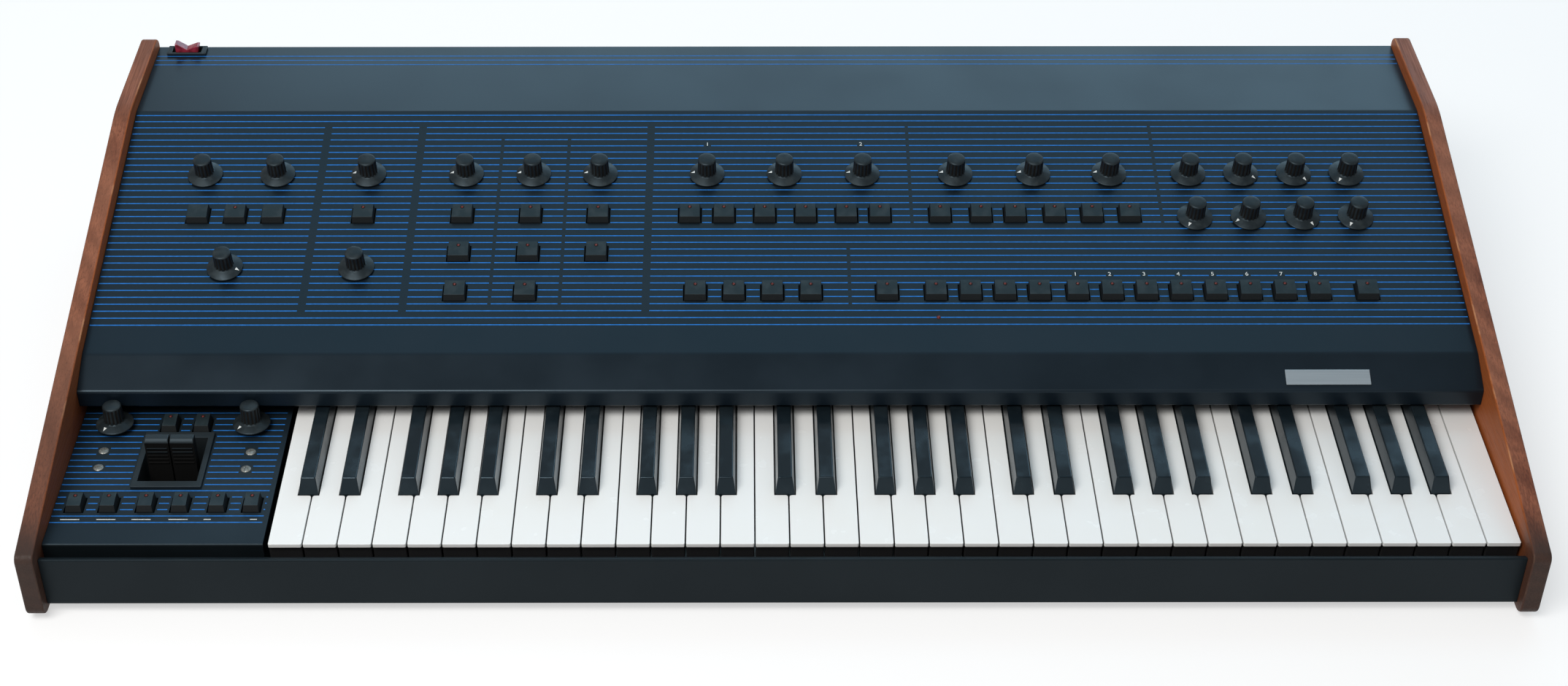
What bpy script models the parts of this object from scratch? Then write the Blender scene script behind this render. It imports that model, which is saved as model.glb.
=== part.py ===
"""An analog synthesizer with 61 keys, at real size.

The frame is +Z up, with the player at -Y and the bass end at -X. The origin is on the
table, under the middle of the case. Heights in the constants are counted from the lower
edge of the wooden cheeks, and depths from the cheeks' front face.
"""

import math

import bmesh
import bpy
from mathutils import Matrix, Vector

MM = 0.001
GAP = 0.3 * MM  # between pieces that touch
SINK = 1 * MM  # overlap of two shapes that are joined
CUT = 5 * MM  # reach of a cutter past the face it cuts
WELD = 0.001 * MM  # points nearer than this are one point

# Case
CASE_WIDTH = 1020 * MM
CASE_DEPTH = 520 * MM
CHEEK_THICKNESS = 12.5 * MM
CHEEK_FRONT_HEIGHT = 48 * MM
CHEEK_REAR_HEIGHT = 143 * MM
CHEEK_SHOULDER_DEPTH = 408 * MM
CHEEK_CORNER_RADIUS = 9 * MM
CHEEK_TIP_RADIUS = 4.5 * MM
CHEEK_EDGE_RADIUS = 3 * MM
FOOT_HEIGHT = 10 * MM
FOOT_RADIUS = 13 * MM
FOOT_BASE_RADIUS = 11 * MM
FOOT_RIM = 2 * MM
FOOT_INSET = 60 * MM
SHEET = 1.6 * MM  # thickness of every sheet metal piece

# Top panel, from its rear edge to the lip above the keys
PANEL_REAR_DEPTH = CASE_DEPTH - 0.5 * MM
PANEL_HEIGHT = 133 * MM
PANEL_REAR_FLANGE = 8 * MM
PANEL_RIDGE_DEPTH = 420.5 * MM
PANEL_FOOT_DEPTH = 181 * MM
PANEL_FOOT_HEIGHT = 80 * MM
LIP_DEPTH = 153.3 * MM
LIP_TOP_HEIGHT = 67.5 * MM
LIP_RETURN = 8 * MM
NAME_PLATE = (60 * MM, 12 * MM, 1 * MM)
NAME_PLATE_X = 388 * MM
NAME_PLATE_DEPTH = 162.8 * MM

# Base and front
PAN_HEIGHT = 1 * MM
PAN_FLANGE = 10 * MM
RAIL_DEPTH = 9 * MM
RAIL_HEIGHT = 40.5 * MM
RAIL_FLANGE = 5 * MM
RAIL_FOOT = 14 * MM

# Keyboard
KEY_PITCH = 23.4 * MM
KEY_GAP = 1 * MM
KEY_COUNT = 36
KEYS_IN_OCTAVE = 7
KEY_FRONT_DEPTH = 22.5 * MM
KEY_TOP_HEIGHT = 41 * MM
KEY_BODY = 14 * MM
KEY_LIP = 3 * MM
KEY_LIP_OVERHANG = 2 * MM
KEY_HEAD = 50 * MM
KEY_END_GAP = 1.1 * MM
BLACK_KEY_WIDTH = 13.7 * MM
BLACK_KEY_TOP_WIDTH = 9.8 * MM
BLACK_KEY_RISE = 11.3 * MM
LIP_CLEARANCE = 1.7 * MM  # between the black keys and the lip above them
BLACK_KEY_NOSE = 5 * MM
BLACK_KEY_CLEARANCE = 0.6 * MM
BLACK_KEY_TAIL = 8 * MM
PIVOT_DEPTH = 226 * MM
KEY_TAIL = 10 * MM  # the part of a white key behind its pivot
SPINE = 5 * MM  # the strip that joins the fixed keys
BLACK_SPINE = (14 * MM, 9.3 * MM)
BLACK_SPINE_LIFT = 4 * MM
KEY_FRAME_GAP = 4 * MM
KEY_STOP_HEIGHT = 15 * MM
KEY_STOP_WIDTH = 20 * MM

# Knobs and buttons
KNOB_SIDES = 14
HOLE_SIDES = 12
KNOB_SKIRT_RADIUS = 13.2 * MM
KNOB_SKIRT_EDGE = 1.1 * MM
KNOB_SKIRT_HEIGHT = 4.5 * MM
KNOB_CAP_RADIUS = 7.4 * MM
KNOB_CAP_STEP = 1 * MM
KNOB_TOP_RADIUS = 6.5 * MM
KNOB_HEIGHT = 17.4 * MM
KNOB_LIFT = 0.6 * MM
PULL_KNOB_LIFT = 4.2 * MM
SHAFT_RADIUS = 3 * MM
SHAFT_CLEARANCE = 0.6 * MM
BUTTON = (17 * MM, 15 * MM)
SMALL_BUTTON = (13 * MM, 15 * MM)
BUTTON_RISE = 5.5 * MM
BUTTON_FACE_DROP = 2.5 * MM
BUTTON_NOSE = 1.5 * MM
BUTTON_LEDGE = 5 * MM
BUTTON_TAPER = 1 * MM
BUTTON_DROP = 6 * MM
BUTTON_CLEARANCE = 0.4 * MM
BUTTON_TRAVEL = 1.5 * MM

# Control rows: x from the middle of the case, and distance up the slope from its foot
UPPER_ROW = 176.5 * MM
SECOND_ENVELOPE_ROW = 131.5 * MM
TUNE_ROW = 82 * MM
BUTTON_ROW = 134.5 * MM
MIDDLE_BUTTON_ROW = 96 * MM
LOWER_BUTTON_ROW = 57.5 * MM
VOLUME_X = -434 * MM
MASTER_TUNE_X = -406.5 * MM
DETUNE_X = -310 * MM
ENVELOPE_X = 311 * MM
ENVELOPE_PITCH = 40 * MM
SPLIT_X = -61 * MM
SPLIT_PITCH = 28 * MM
GROUP_X = 114 * MM
PROGRAM_X = 217 * MM
PROGRAM_PITCH = 25.1 * MM
OSCILLATOR_BUTTONS_X = (-66 * MM, -40.5 * MM, -10 * MM, 20.5 * MM, 51 * MM, 76 * MM)
FILTER_BUTTONS_X = (121 * MM, 151.5 * MM, 177 * MM, 206.5 * MM, 234.5 * MM, 262.5 * MM)
MANUAL_BUTTONS_X = (-433.5 * MM, -405.5 * MM, -377.5 * MM)
MODULATION_BUTTONS_X = (-236 * MM, -185 * MM, -134.5 * MM)
LOWER_BUTTONS_X = (-236 * MM, -185 * MM, 78.5 * MM, 427.5 * MM)
OSCILLATOR_KNOBS_X = (-53.5 * MM, 5 * MM, 64 * MM)
FILTER_KNOBS_X = (134.5 * MM, 193.5 * MM, 251 * MM)
BALANCE_X = -379 * MM
PORTAMENTO_X = -310 * MM

# Lever plate, left of the keys
LEVER_PLATE_GAP = 3 * MM
LEVER_PLATE_DROP = 15 * MM
LEVER_PLATE_REAR = 185 * MM
WELL_CENTRE = (-424.5 * MM, 109 * MM)
WELL_INSIDE = (41 * MM, 47 * MM)
WELL_WALL = 1.5 * MM
WELL_FLANGE = (49 * MM, 59 * MM, 2 * MM)
WELL_BOTTOM_HEIGHT = 4 * MM
WELL_CLEARANCE = 1 * MM
AXLE_HEIGHT = 12 * MM
AXLE_RADIUS = 2.5 * MM
AXLE_CLEARANCE = 0.3 * MM
AXLE_END = 1.5 * MM
LEVER_WIDTH = 16.5 * MM
LEVER_SPACING = 17.5 * MM
LEVER_THICKNESS = 7 * MM
LEVER_FLARE = 1 * MM
LEVER_TIP = 2 * MM
LEVER_RISE = 22 * MM
LEVER_BOSS_RADIUS = 6 * MM
PULL_KNOBS_X = (-472 * MM, -375 * MM)
PULL_KNOBS_DEPTH = 145.5 * MM
REAR_LEVER_BUTTONS_X = (-433.5 * MM, -410.5 * MM)
REAR_LEVER_BUTTONS_DEPTH = 148 * MM
FRONT_LEVER_BUTTONS_X = (-483 * MM, -460 * MM, -434.5 * MM, -411 * MM, -385.5 * MM, -362 * MM)
FRONT_LEVER_BUTTONS_DEPTH = 62.5 * MM

# Power switch, on the flat rear of the panel
SWITCH_X = -473.5 * MM
SWITCH_INSET = 9.5 * MM
SWITCH_FLANGE = (31 * MM, 12 * MM, 2.4 * MM)
SWITCH_BODY = (25 * MM, 10 * MM)
SWITCH_BODY_BOTTOM = 24 * MM
SWITCH_WELL_BOTTOM = 12 * MM
SWITCH_WALL = 1 * MM
ROCKER_WIDTH = 7.4 * MM
ROCKER_END_GAP = 1.8 * MM
ROCKER_RISE = 8 * MM
ROCKER_DIP = 4 * MM
ROCKER_LAND = 2 * MM
ROCKER_TAPER = 1 * MM
ROCKER_FOOT = 5 * MM
ROCKER_FOOT_BOTTOM = 11 * MM
ROCKER_TILT = math.radians(6)

# Circuit boards
BOARD = 1.6 * MM
BOARD_DROP = 12 * MM
BOARD_MARGIN = 3 * MM
PILLAR = 6 * MM
PAN_CLEARANCE = 8 * MM
PANEL_BOARD_END = 30 * MM
PANEL_BOARD_EDGE = 25 * MM
STANDOFFS_X = (-346.5 * MM, -98 * MM, 100 * MM, 287 * MM)
POT = 14 * MM
POT_TOP = 8 * MM
SWITCH_BLOCK = 12 * MM
LEVER_BOARD_FRONT_DEPTH = 42.5 * MM
LEVER_BOARD_REAR_DEPTH = 175 * MM
CHIP = (20 * MM, 8 * MM, 4 * MM)
CHIP_ROWS_DEPTH = (300 * MM, 350 * MM, 400 * MM, 450 * MM)
CHIP_EDGE = 35 * MM
VOICE_BOARD_X = (-140 * MM, 170 * MM)
VOICE_BOARD_WIDTH = 290 * MM
VOICE_CHIP_PITCH = 70 * MM
VOICE_BOARD_DEPTHS = (262 * MM, 490 * MM)
PROCESSOR_BOARD_X = (-320 * MM, -160 * MM)
PROCESSOR_BOARD_DEPTHS = (262 * MM, 400 * MM)
PROCESSOR_CHIP_PITCH = 45 * MM
POWER_BOARD_DEPTHS = (410 * MM, 495 * MM)
CAPACITOR = (22 * MM, 22 * MM, 40 * MM)
CAPACITORS_X = (-290 * MM, -255 * MM)
CAPACITORS_DEPTH = 440 * MM
HEAT_SINK = (110 * MM, 12 * MM, 30 * MM)
HEAT_SINK_X = -240 * MM
HEAT_SINK_DEPTH = 478 * MM

# Transformer and sockets
TRANSFORMER_CORE = (78 * MM, 33 * MM, 62 * MM)
TRANSFORMER_WINDING = (39 * MM, 66 * MM, 41 * MM)
TRANSFORMER_FOOT = (98 * MM, 33 * MM, 3 * MM)
TRANSFORMER_PLACE = (79 * MM, 360 * MM)  # from the left cheek, and its depth
JACK_COUNT = 8
JACK_PITCH = 30 * MM
JACK_FIRST_X = 60 * MM
JACK_NECK_RADIUS = 4.6 * MM
JACK_BORE_RADIUS = 3.2 * MM
JACK_BORE_LENGTH = 14 * MM
JACK_BODY = 16 * MM
JACK_HEIGHT = 60 * MM
JACK_STRIP_EDGE = 18 * MM
JACK_STRIP_HEIGHT = 28 * MM
INLET_X = -440 * MM
INLET_HEIGHT = 50 * MM
INLET_FLANGE = (46 * MM, 23 * MM)
INLET_BODY = (26 * MM, 19 * MM)
INLET_SOCKET = (24 * MM, 17 * MM)
INLET_SOCKET_DEPTH = 18 * MM
INLET_FLOOR = 2 * MM
FLANGE_PROUD = 2 * MM

# Values that follow from those above
INSIDE_X = CASE_WIDTH / 2 - CHEEK_THICKNESS
SHEET_END_X = INSIDE_X - GAP
KEYS_RIGHT_X = INSIDE_X - KEY_END_GAP
KEYS_LEFT_X = KEYS_RIGHT_X - KEY_COUNT * KEY_PITCH
LEVER_PLATE_RIGHT_X = KEYS_LEFT_X - LEVER_PLATE_GAP
PAN_TOP = PAN_HEIGHT + SHEET
SEAT_HEIGHT = PAN_TOP + GAP  # for what stands on the pan
REAR_PANEL_DEPTH = PANEL_REAR_DEPTH - SHEET - GAP
PANEL_TILT = math.atan2(PANEL_HEIGHT - PANEL_FOOT_HEIGHT, PANEL_RIDGE_DEPTH - PANEL_FOOT_DEPTH)
FASCIA_TILT = math.atan2(PANEL_FOOT_HEIGHT - LIP_TOP_HEIGHT, PANEL_FOOT_DEPTH - LIP_DEPTH)
BOARD_SINK = -BOARD_DROP + BOARD / 2  # where a component's legs end, below the panel's face
KEY_BOTTOM_HEIGHT = KEY_TOP_HEIGHT - KEY_BODY
LIP_BOTTOM_HEIGHT = KEY_TOP_HEIGHT + BLACK_KEY_RISE + LIP_CLEARANCE
KEY_FRONT_Y = KEY_FRONT_DEPTH - PIVOT_DEPTH
BLACK_NOTCH = BLACK_KEY_WIDTH + 2 * BLACK_KEY_CLEARANCE


def world_y(depth):
    """World Y of a depth behind the cheeks' front face."""
    return depth - CASE_DEPTH / 2


def world_z(height):
    """World Z of a height above the cheeks' lower edge."""
    return height + FOOT_HEIGHT


def world_outline(path):
    """(depth, height) points as world (y, z) points."""
    return [(world_y(depth), world_z(height)) for depth, height in path]


def on_panel(x, up_slope):
    """World place of a point on the sloping panel's outer face."""
    depth = PANEL_FOOT_DEPTH + up_slope * math.cos(PANEL_TILT)
    height = PANEL_FOOT_HEIGHT + up_slope * math.sin(PANEL_TILT)
    return (x, world_y(depth), world_z(height))


def material(name, colour, roughness, metallic=0.0):
    made = bpy.data.materials.new(name)
    made.use_nodes = True
    shader = made.node_tree.nodes["Principled BSDF"]
    shader.inputs["Base Color"].default_value = (*colour, 1.0)
    shader.inputs["Roughness"].default_value = roughness
    shader.inputs["Metallic"].default_value = metallic
    return made


def placed(name, shape, finish, location=(0, 0, 0), tilt=0.0):
    """An object whose shape is in its own axes, set down at a place and tilted about X."""
    mesh = bpy.data.meshes.new(name)
    shape.to_mesh(mesh)
    shape.free()
    mesh.materials.append(finish)
    obj = bpy.data.objects.new(name, mesh)
    obj.location = location
    obj.rotation_euler = (tilt, 0, 0)
    bpy.context.scene.collection.objects.link(obj)
    return obj


def smooth(obj):
    obj.data.shade_smooth()
    obj.data.set_sharp_from_angle(angle=math.radians(35))


def loft(rings):
    """A solid whose first ring is extruded to each of the next ones in turn."""
    made = bmesh.new()
    face = made.faces.new([made.verts.new(point) for point in rings[0]])
    inner = []
    for ring in rings[1:]:
        grown = bmesh.ops.extrude_face_region(made, geom=[face])["geom"]
        face = next(item for item in grown if isinstance(item, bmesh.types.BMFace))
        inner.append(face)
        for vert, point in zip(face.verts, ring):
            vert.co = point
    bmesh.ops.delete(made, geom=inner[:-1], context="FACES_ONLY")
    bmesh.ops.remove_doubles(made, verts=made.verts, dist=WELD)
    bmesh.ops.recalc_face_normals(made, faces=made.faces)
    return made


def along_x(outline, x0, x1):
    """A (y, z) outline extruded along X."""
    return loft([[(x, y, z) for y, z in outline] for x in (x0, x1)])


def along_y(outline, y0, y1):
    """An (x, z) outline extruded along Y."""
    return loft([[(x, y, z) for x, z in outline] for y in (y0, y1)])


def block(low, high):
    low = Vector(low)
    high = Vector(high)
    made = bmesh.new()
    spread = Matrix.LocRotScale((low + high) / 2, None, high - low)
    bmesh.ops.create_cube(made, size=1, matrix=spread)
    return made


def standing_block(x, y, size, bottom, top):
    """A block centred on (x, y), with its first two sizes given."""
    half_x = size[0] / 2
    half_y = size[1] / 2
    return block((x - half_x, y - half_y, bottom), (x + half_x, y + half_y, top))


def turned(profile, sides, centre=(0, 0, 0), axis="Z"):
    """A solid of revolution of (radius, height) points, listed from its bottom to its top."""
    made = bmesh.new()
    points = [(0, profile[0][1]), *profile, (0, profile[-1][1])]
    verts = [made.verts.new((radius, 0, height)) for radius, height in points]
    edges = [made.edges.new(pair) for pair in zip(verts, verts[1:])]
    bmesh.ops.spin(
        made,
        geom=verts + edges,
        axis=(0, 0, 1),
        cent=(0, 0, 0),
        angle=2 * math.pi,
        steps=sides,
        use_merge=True,
    )
    bmesh.ops.remove_doubles(made, verts=made.verts, dist=WELD)
    bmesh.ops.recalc_face_normals(made, faces=made.faces)
    turns = {"X": (math.pi / 2, "Y"), "Y": (-math.pi / 2, "X"), "Z": (0, "Z")}
    made.transform(Matrix.Translation(centre) @ Matrix.Rotation(turns[axis][0], 4, turns[axis][1]))
    return made


def gathered(shapes):
    """One mesh that holds several separate shapes."""
    whole = bmesh.new()
    for shape in shapes:
        scratch = bpy.data.meshes.new("scratch")
        shape.to_mesh(scratch)
        shape.free()
        whole.from_mesh(scratch)
        bpy.data.meshes.remove(scratch)
    return whole


def boolean(obj, shapes, operation):
    """Cuts shapes from an object, or joins them to it, in the object's own axes."""
    helper = placed(f"{obj.name}_{operation.lower()}", gathered(shapes), obj.data.materials[0])
    helper.parent = obj
    helper.hide_render = True
    helper.display_type = "WIRE"
    modifier = obj.modifiers.new(operation.lower(), "BOOLEAN")
    modifier.object = helper
    modifier.operation = operation


def sheet_outline(path):
    """The outline of a bent sheet whose outer face follows a path of points."""
    points = [Vector(point) for point in path]
    inner = []
    for i, point in enumerate(points):
        sides = []
        for start, end in ((i - 1, i), (i, i + 1)):
            if start >= 0 and end < len(points):
                along = (points[end] - points[start]).normalized()
                sides.append(Vector((-along.y, along.x)))
        middle = sum(sides, Vector((0, 0))).normalized()
        inner.append(point + middle * SHEET / middle.dot(sides[0]))
    return points + inner[::-1]


def rounded(corners, steps=3):
    """An outline whose (point, radius) corners are turned into arcs."""
    made = []
    for i, (point, radius) in enumerate(corners):
        corner = Vector(point)
        before = (Vector(corners[i - 1][0]) - corner).normalized()
        after = (Vector(corners[(i + 1) % len(corners)][0]) - corner).normalized()
        half = before.angle(after) / 2
        centre = corner + (before + after).normalized() * radius / math.sin(half)
        start = corner + before * radius / math.tan(half) - centre
        end = corner + after * radius / math.tan(half) - centre
        for step in range(steps + 1):
            made.append(centre + start.lerp(end, step / steps).normalized() * radius)
    return made


def knob(centre, lift, shaft_bottom):
    """A skirted knob and its shaft, standing along Z on a centre at the panel's face."""
    skirt_top = lift + KNOB_SKIRT_HEIGHT
    profile = [
        (SHAFT_RADIUS, shaft_bottom),
        (SHAFT_RADIUS, lift),
        (KNOB_SKIRT_RADIUS, lift),
        (KNOB_SKIRT_RADIUS, lift + KNOB_SKIRT_EDGE),
        (KNOB_CAP_RADIUS + KNOB_CAP_STEP, skirt_top),
        (KNOB_CAP_RADIUS, skirt_top),
        (KNOB_TOP_RADIUS, lift + KNOB_HEIGHT),
    ]
    return turned(profile, KNOB_SIDES, centre)


def button(centre, size, bottom):
    """A push button cap, a little narrower at its top, with a ledge at its rear for its lamp."""
    x, y, z = centre
    front = -size[1] / 2
    rear = size[1] / 2
    profile = [
        (front, bottom),
        (front, BUTTON_RISE - BUTTON_FACE_DROP),
        (front + BUTTON_NOSE, BUTTON_RISE - BUTTON_NOSE),
        (rear - BUTTON_LEDGE, BUTTON_RISE),
        (rear, BUTTON_RISE),
        (rear, bottom),
    ]
    rings = []
    for side in (-1, 1):
        ring = []
        for across, up in profile:
            narrowing = BUTTON_TAPER * (up - bottom) / (BUTTON_RISE - bottom)
            ring.append((x + side * (size[0] / 2 - narrowing), y + across, z + up))
        rings.append(ring)
    return loft(rings)


def button_hole(centre, size):
    x, y, z = centre
    opening = [length + 2 * BUTTON_CLEARANCE for length in size]
    return standing_block(x, y, opening, z - CUT, z + CUT)


def shaft_hole(centre):
    radius = SHAFT_RADIUS + SHAFT_CLEARANCE
    return turned([(radius, -CUT), (radius, CUT)], HOLE_SIDES, centre)


# Where the controls stand on the sloping panel
def fixed_knob_places():
    upper = (BALANCE_X, PORTAMENTO_X, *MODULATION_BUTTONS_X, *OSCILLATOR_KNOBS_X, *FILTER_KNOBS_X)
    return [(x, UPPER_ROW) for x in upper] + [(DETUNE_X, TUNE_ROW)]


def moving_knob_places():
    places = {"volume_knob": (VOLUME_X, UPPER_ROW), "master_tune_knob": (MASTER_TUNE_X, TUNE_ROW)}
    for envelope, row in (("filter", UPPER_ROW), ("loudness", SECOND_ENVELOPE_ROW)):
        for i, stage in enumerate(("attack", "decay", "sustain", "release")):
            places[f"{envelope}_{stage}_knob"] = (ENVELOPE_X + i * ENVELOPE_PITCH, row)
    return places


def fixed_button_places():
    first_row = (*MANUAL_BUTTONS_X, PORTAMENTO_X, *MODULATION_BUTTONS_X)
    places = [(x, BUTTON_ROW) for x in first_row + OSCILLATOR_BUTTONS_X + FILTER_BUTTONS_X]
    places += [(x, MIDDLE_BUTTON_ROW) for x in MODULATION_BUTTONS_X]
    places += [(x, LOWER_BUTTON_ROW) for x in LOWER_BUTTONS_X]
    places += [(SPLIT_X + i * SPLIT_PITCH, LOWER_BUTTON_ROW) for i in range(4)]
    places += [(GROUP_X + i * PROGRAM_PITCH, LOWER_BUTTON_ROW) for i in range(4)]
    return places


def program_button_places():
    return [(PROGRAM_X + i * PROGRAM_PITCH, LOWER_BUTTON_ROW) for i in range(8)]


def lever_button_places():
    places = [(x, world_y(REAR_LEVER_BUTTONS_DEPTH)) for x in REAR_LEVER_BUTTONS_X]
    return places + [(x, world_y(FRONT_LEVER_BUTTONS_DEPTH)) for x in FRONT_LEVER_BUTTONS_X]


# The wooden cheeks at both ends
def cheeks(finish):
    corners = [
        ((0, 0), CHEEK_CORNER_RADIUS),
        ((0, CHEEK_FRONT_HEIGHT), CHEEK_TIP_RADIUS),
        ((CHEEK_SHOULDER_DEPTH, CHEEK_REAR_HEIGHT), CHEEK_CORNER_RADIUS),
        ((CASE_DEPTH, CHEEK_REAR_HEIGHT), CHEEK_CORNER_RADIUS),
        ((CASE_DEPTH, 0), CHEEK_TIP_RADIUS),
    ]
    outline = world_outline(rounded(corners))
    for name, side in (("left_cheek", -1), ("right_cheek", 1)):
        made = along_x(outline, side * INSIDE_X, side * CASE_WIDTH / 2)
        rim = [edge for edge in made.edges if edge.verts[0].co.x == edge.verts[1].co.x]
        bmesh.ops.bevel(
            made, geom=rim, offset=CHEEK_EDGE_RADIUS, segments=2, profile=0.5, affect="EDGES"
        )
        smooth(placed(name, made, finish))


# The folded steel of the case
def top_panel(finish):
    path = [
        (PANEL_REAR_DEPTH, PANEL_HEIGHT - PANEL_REAR_FLANGE),
        (PANEL_REAR_DEPTH, PANEL_HEIGHT),
        (PANEL_RIDGE_DEPTH, PANEL_HEIGHT),
        (PANEL_FOOT_DEPTH, PANEL_FOOT_HEIGHT),
        (LIP_DEPTH, LIP_TOP_HEIGHT),
        (LIP_DEPTH, LIP_BOTTOM_HEIGHT),
        (LIP_DEPTH + LIP_RETURN, LIP_BOTTOM_HEIGHT),
    ]
    outline = world_outline(sheet_outline(path))
    panel = placed("top_panel", along_x(outline, -SHEET_END_X, SHEET_END_X), finish)
    knob_places = fixed_knob_places() + list(moving_knob_places().values())
    button_places = fixed_button_places() + program_button_places()
    holes = [shaft_hole((*place, 0)) for place in knob_places]
    holes += [button_hole((*place, 0), BUTTON) for place in button_places]
    to_world = Matrix.Translation(on_panel(0, 0)) @ Matrix.Rotation(PANEL_TILT, 4, "X")
    for hole in holes:
        hole.transform(to_world)
    opening = [length + 2 * GAP for length in SWITCH_BODY]
    face = world_z(PANEL_HEIGHT)
    y = world_y(CASE_DEPTH - SWITCH_INSET)
    holes.append(standing_block(SWITCH_X, y, opening, face - CUT, face + CUT))
    boolean(panel, holes, "DIFFERENCE")


def name_plate(finish):
    """The bare plate at the right of the fascia."""
    width, height, thickness = NAME_PLATE
    rise = (NAME_PLATE_DEPTH - LIP_DEPTH) * math.tan(FASCIA_TILT)
    place = (NAME_PLATE_X, world_y(NAME_PLATE_DEPTH), world_z(LIP_TOP_HEIGHT + rise))
    made = standing_block(0, 0, (width, height), GAP, GAP + thickness)
    placed("name_plate", made, finish, place, FASCIA_TILT)


def bottom_pan(finish):
    """The base sheet, with a low flange up each cheek."""
    low = world_z(PAN_HEIGHT)
    high = world_z(PAN_TOP + PAN_FLANGE)
    path = [(-SHEET_END_X, high), (-SHEET_END_X, low), (SHEET_END_X, low), (SHEET_END_X, high)]
    front = world_y(RAIL_DEPTH + SHEET + RAIL_FOOT + GAP)
    made = along_y(sheet_outline(path), front, world_y(REAR_PANEL_DEPTH))
    placed("bottom_pan", made, finish)


def front_rail(finish):
    """The folded sheet below the front of the keys."""
    path = [
        (RAIL_DEPTH + RAIL_FLANGE, RAIL_HEIGHT),
        (RAIL_DEPTH, RAIL_HEIGHT),
        (RAIL_DEPTH, PAN_HEIGHT),
        (RAIL_DEPTH + SHEET + RAIL_FOOT, PAN_HEIGHT),
    ]
    outline = world_outline(sheet_outline(path))
    placed("front_rail", along_x(outline, -SHEET_END_X, SHEET_END_X), finish)


def rear_panel(finish):
    """The sheet that carries the sockets, inside the pan's and the top panel's flanges."""
    end = SHEET_END_X - SHEET - GAP
    face = world_y(REAR_PANEL_DEPTH)
    low = (-end, face - SHEET, world_z(SEAT_HEIGHT))
    high = (end, face, world_z(PANEL_HEIGHT) - SHEET - GAP)
    panel = placed("rear_panel", block(low, high), finish)
    neck = JACK_NECK_RADIUS + GAP
    holes = []
    for i in range(JACK_COUNT):
        centre = (JACK_FIRST_X + i * JACK_PITCH, face, world_z(JACK_HEIGHT))
        holes.append(turned([(neck, -CUT), (neck, CUT)], HOLE_SIDES, centre, "Y"))
    width, height = (length + 2 * GAP for length in INLET_BODY)
    middle = world_z(INLET_HEIGHT)
    inlet = standing_block(INLET_X, face, (width, 2 * CUT), middle - height / 2, middle + height / 2)
    holes.append(inlet)
    boolean(panel, holes, "DIFFERENCE")


def feet(finish):
    top = world_z(PAN_HEIGHT) - GAP
    profile = [(FOOT_BASE_RADIUS, 0), (FOOT_RADIUS, top - FOOT_RIM), (FOOT_RADIUS, top)]
    for side_x, name_x in ((-1, "left"), (1, "right")):
        for side_y, name_y in ((-1, "front"), (1, "rear")):
            x = side_x * (INSIDE_X - FOOT_INSET)
            y = side_y * (CASE_DEPTH / 2 - FOOT_INSET)
            made = turned(profile, KNOB_SIDES)
            smooth(placed(f"foot_{name_y}_{name_x}", made, finish, (x, y, 0)))


# The lever plate with its well, levers and controls
def lever_plate(finish):
    path = [
        (LEVER_PLATE_REAR, KEY_TOP_HEIGHT),
        (KEY_FRONT_DEPTH, KEY_TOP_HEIGHT),
        (KEY_FRONT_DEPTH, KEY_TOP_HEIGHT - LEVER_PLATE_DROP),
    ]
    outline = world_outline(sheet_outline(path))
    plate = placed("lever_plate", along_x(outline, -SHEET_END_X, LEVER_PLATE_RIGHT_X), finish)
    face = world_z(KEY_TOP_HEIGHT)
    holes = [shaft_hole((x, world_y(PULL_KNOBS_DEPTH), face)) for x in PULL_KNOBS_X]
    holes += [button_hole((x, y, face), SMALL_BUTTON) for x, y in lever_button_places()]
    holes.append(well_block(WELL_WALL + GAP, face - CUT, face + CUT))
    boolean(plate, holes, "DIFFERENCE")


def well_block(margin, bottom, top):
    """A block round the lever well, larger than its inside by a margin on each side."""
    size = [length + 2 * margin for length in WELL_INSIDE]
    return standing_block(WELL_CENTRE[0], world_y(WELL_CENTRE[1]), size, bottom, top)


def lever_box(finish):
    """The square well round the levers, whose side walls hold their axle."""
    x = WELL_CENTRE[0]
    y = world_y(WELL_CENTRE[1])
    seat = world_z(KEY_TOP_HEIGHT) + GAP
    bottom = world_z(WELL_BOTTOM_HEIGHT)
    top = seat + WELL_FLANGE[2]
    flange = standing_block(x, y, WELL_FLANGE, seat, top)
    frame = placed("lever_box", flange, finish)
    boolean(frame, [well_block(WELL_WALL, bottom, seat + SINK)], "UNION")
    boolean(frame, [well_block(0, bottom - CUT, top + CUT)], "DIFFERENCE")
    radius = AXLE_RADIUS + AXLE_CLEARANCE
    reach = WELL_INSIDE[0] / 2 + WELL_WALL + CUT
    centre = (x, y, world_z(AXLE_HEIGHT))
    bore = turned([(radius, -reach), (radius, reach)], HOLE_SIDES, centre, "X")
    boolean(frame, [bore], "DIFFERENCE")


def lever_axle(finish):
    reach = WELL_INSIDE[0] / 2 + WELL_WALL + AXLE_END
    made = turned([(AXLE_RADIUS, -reach), (AXLE_RADIUS, reach)], HOLE_SIDES, axis="X")
    centre = (WELL_CENTRE[0], world_y(WELL_CENTRE[1]), world_z(AXLE_HEIGHT))
    smooth(placed("lever_axle", made, finish, centre))


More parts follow.
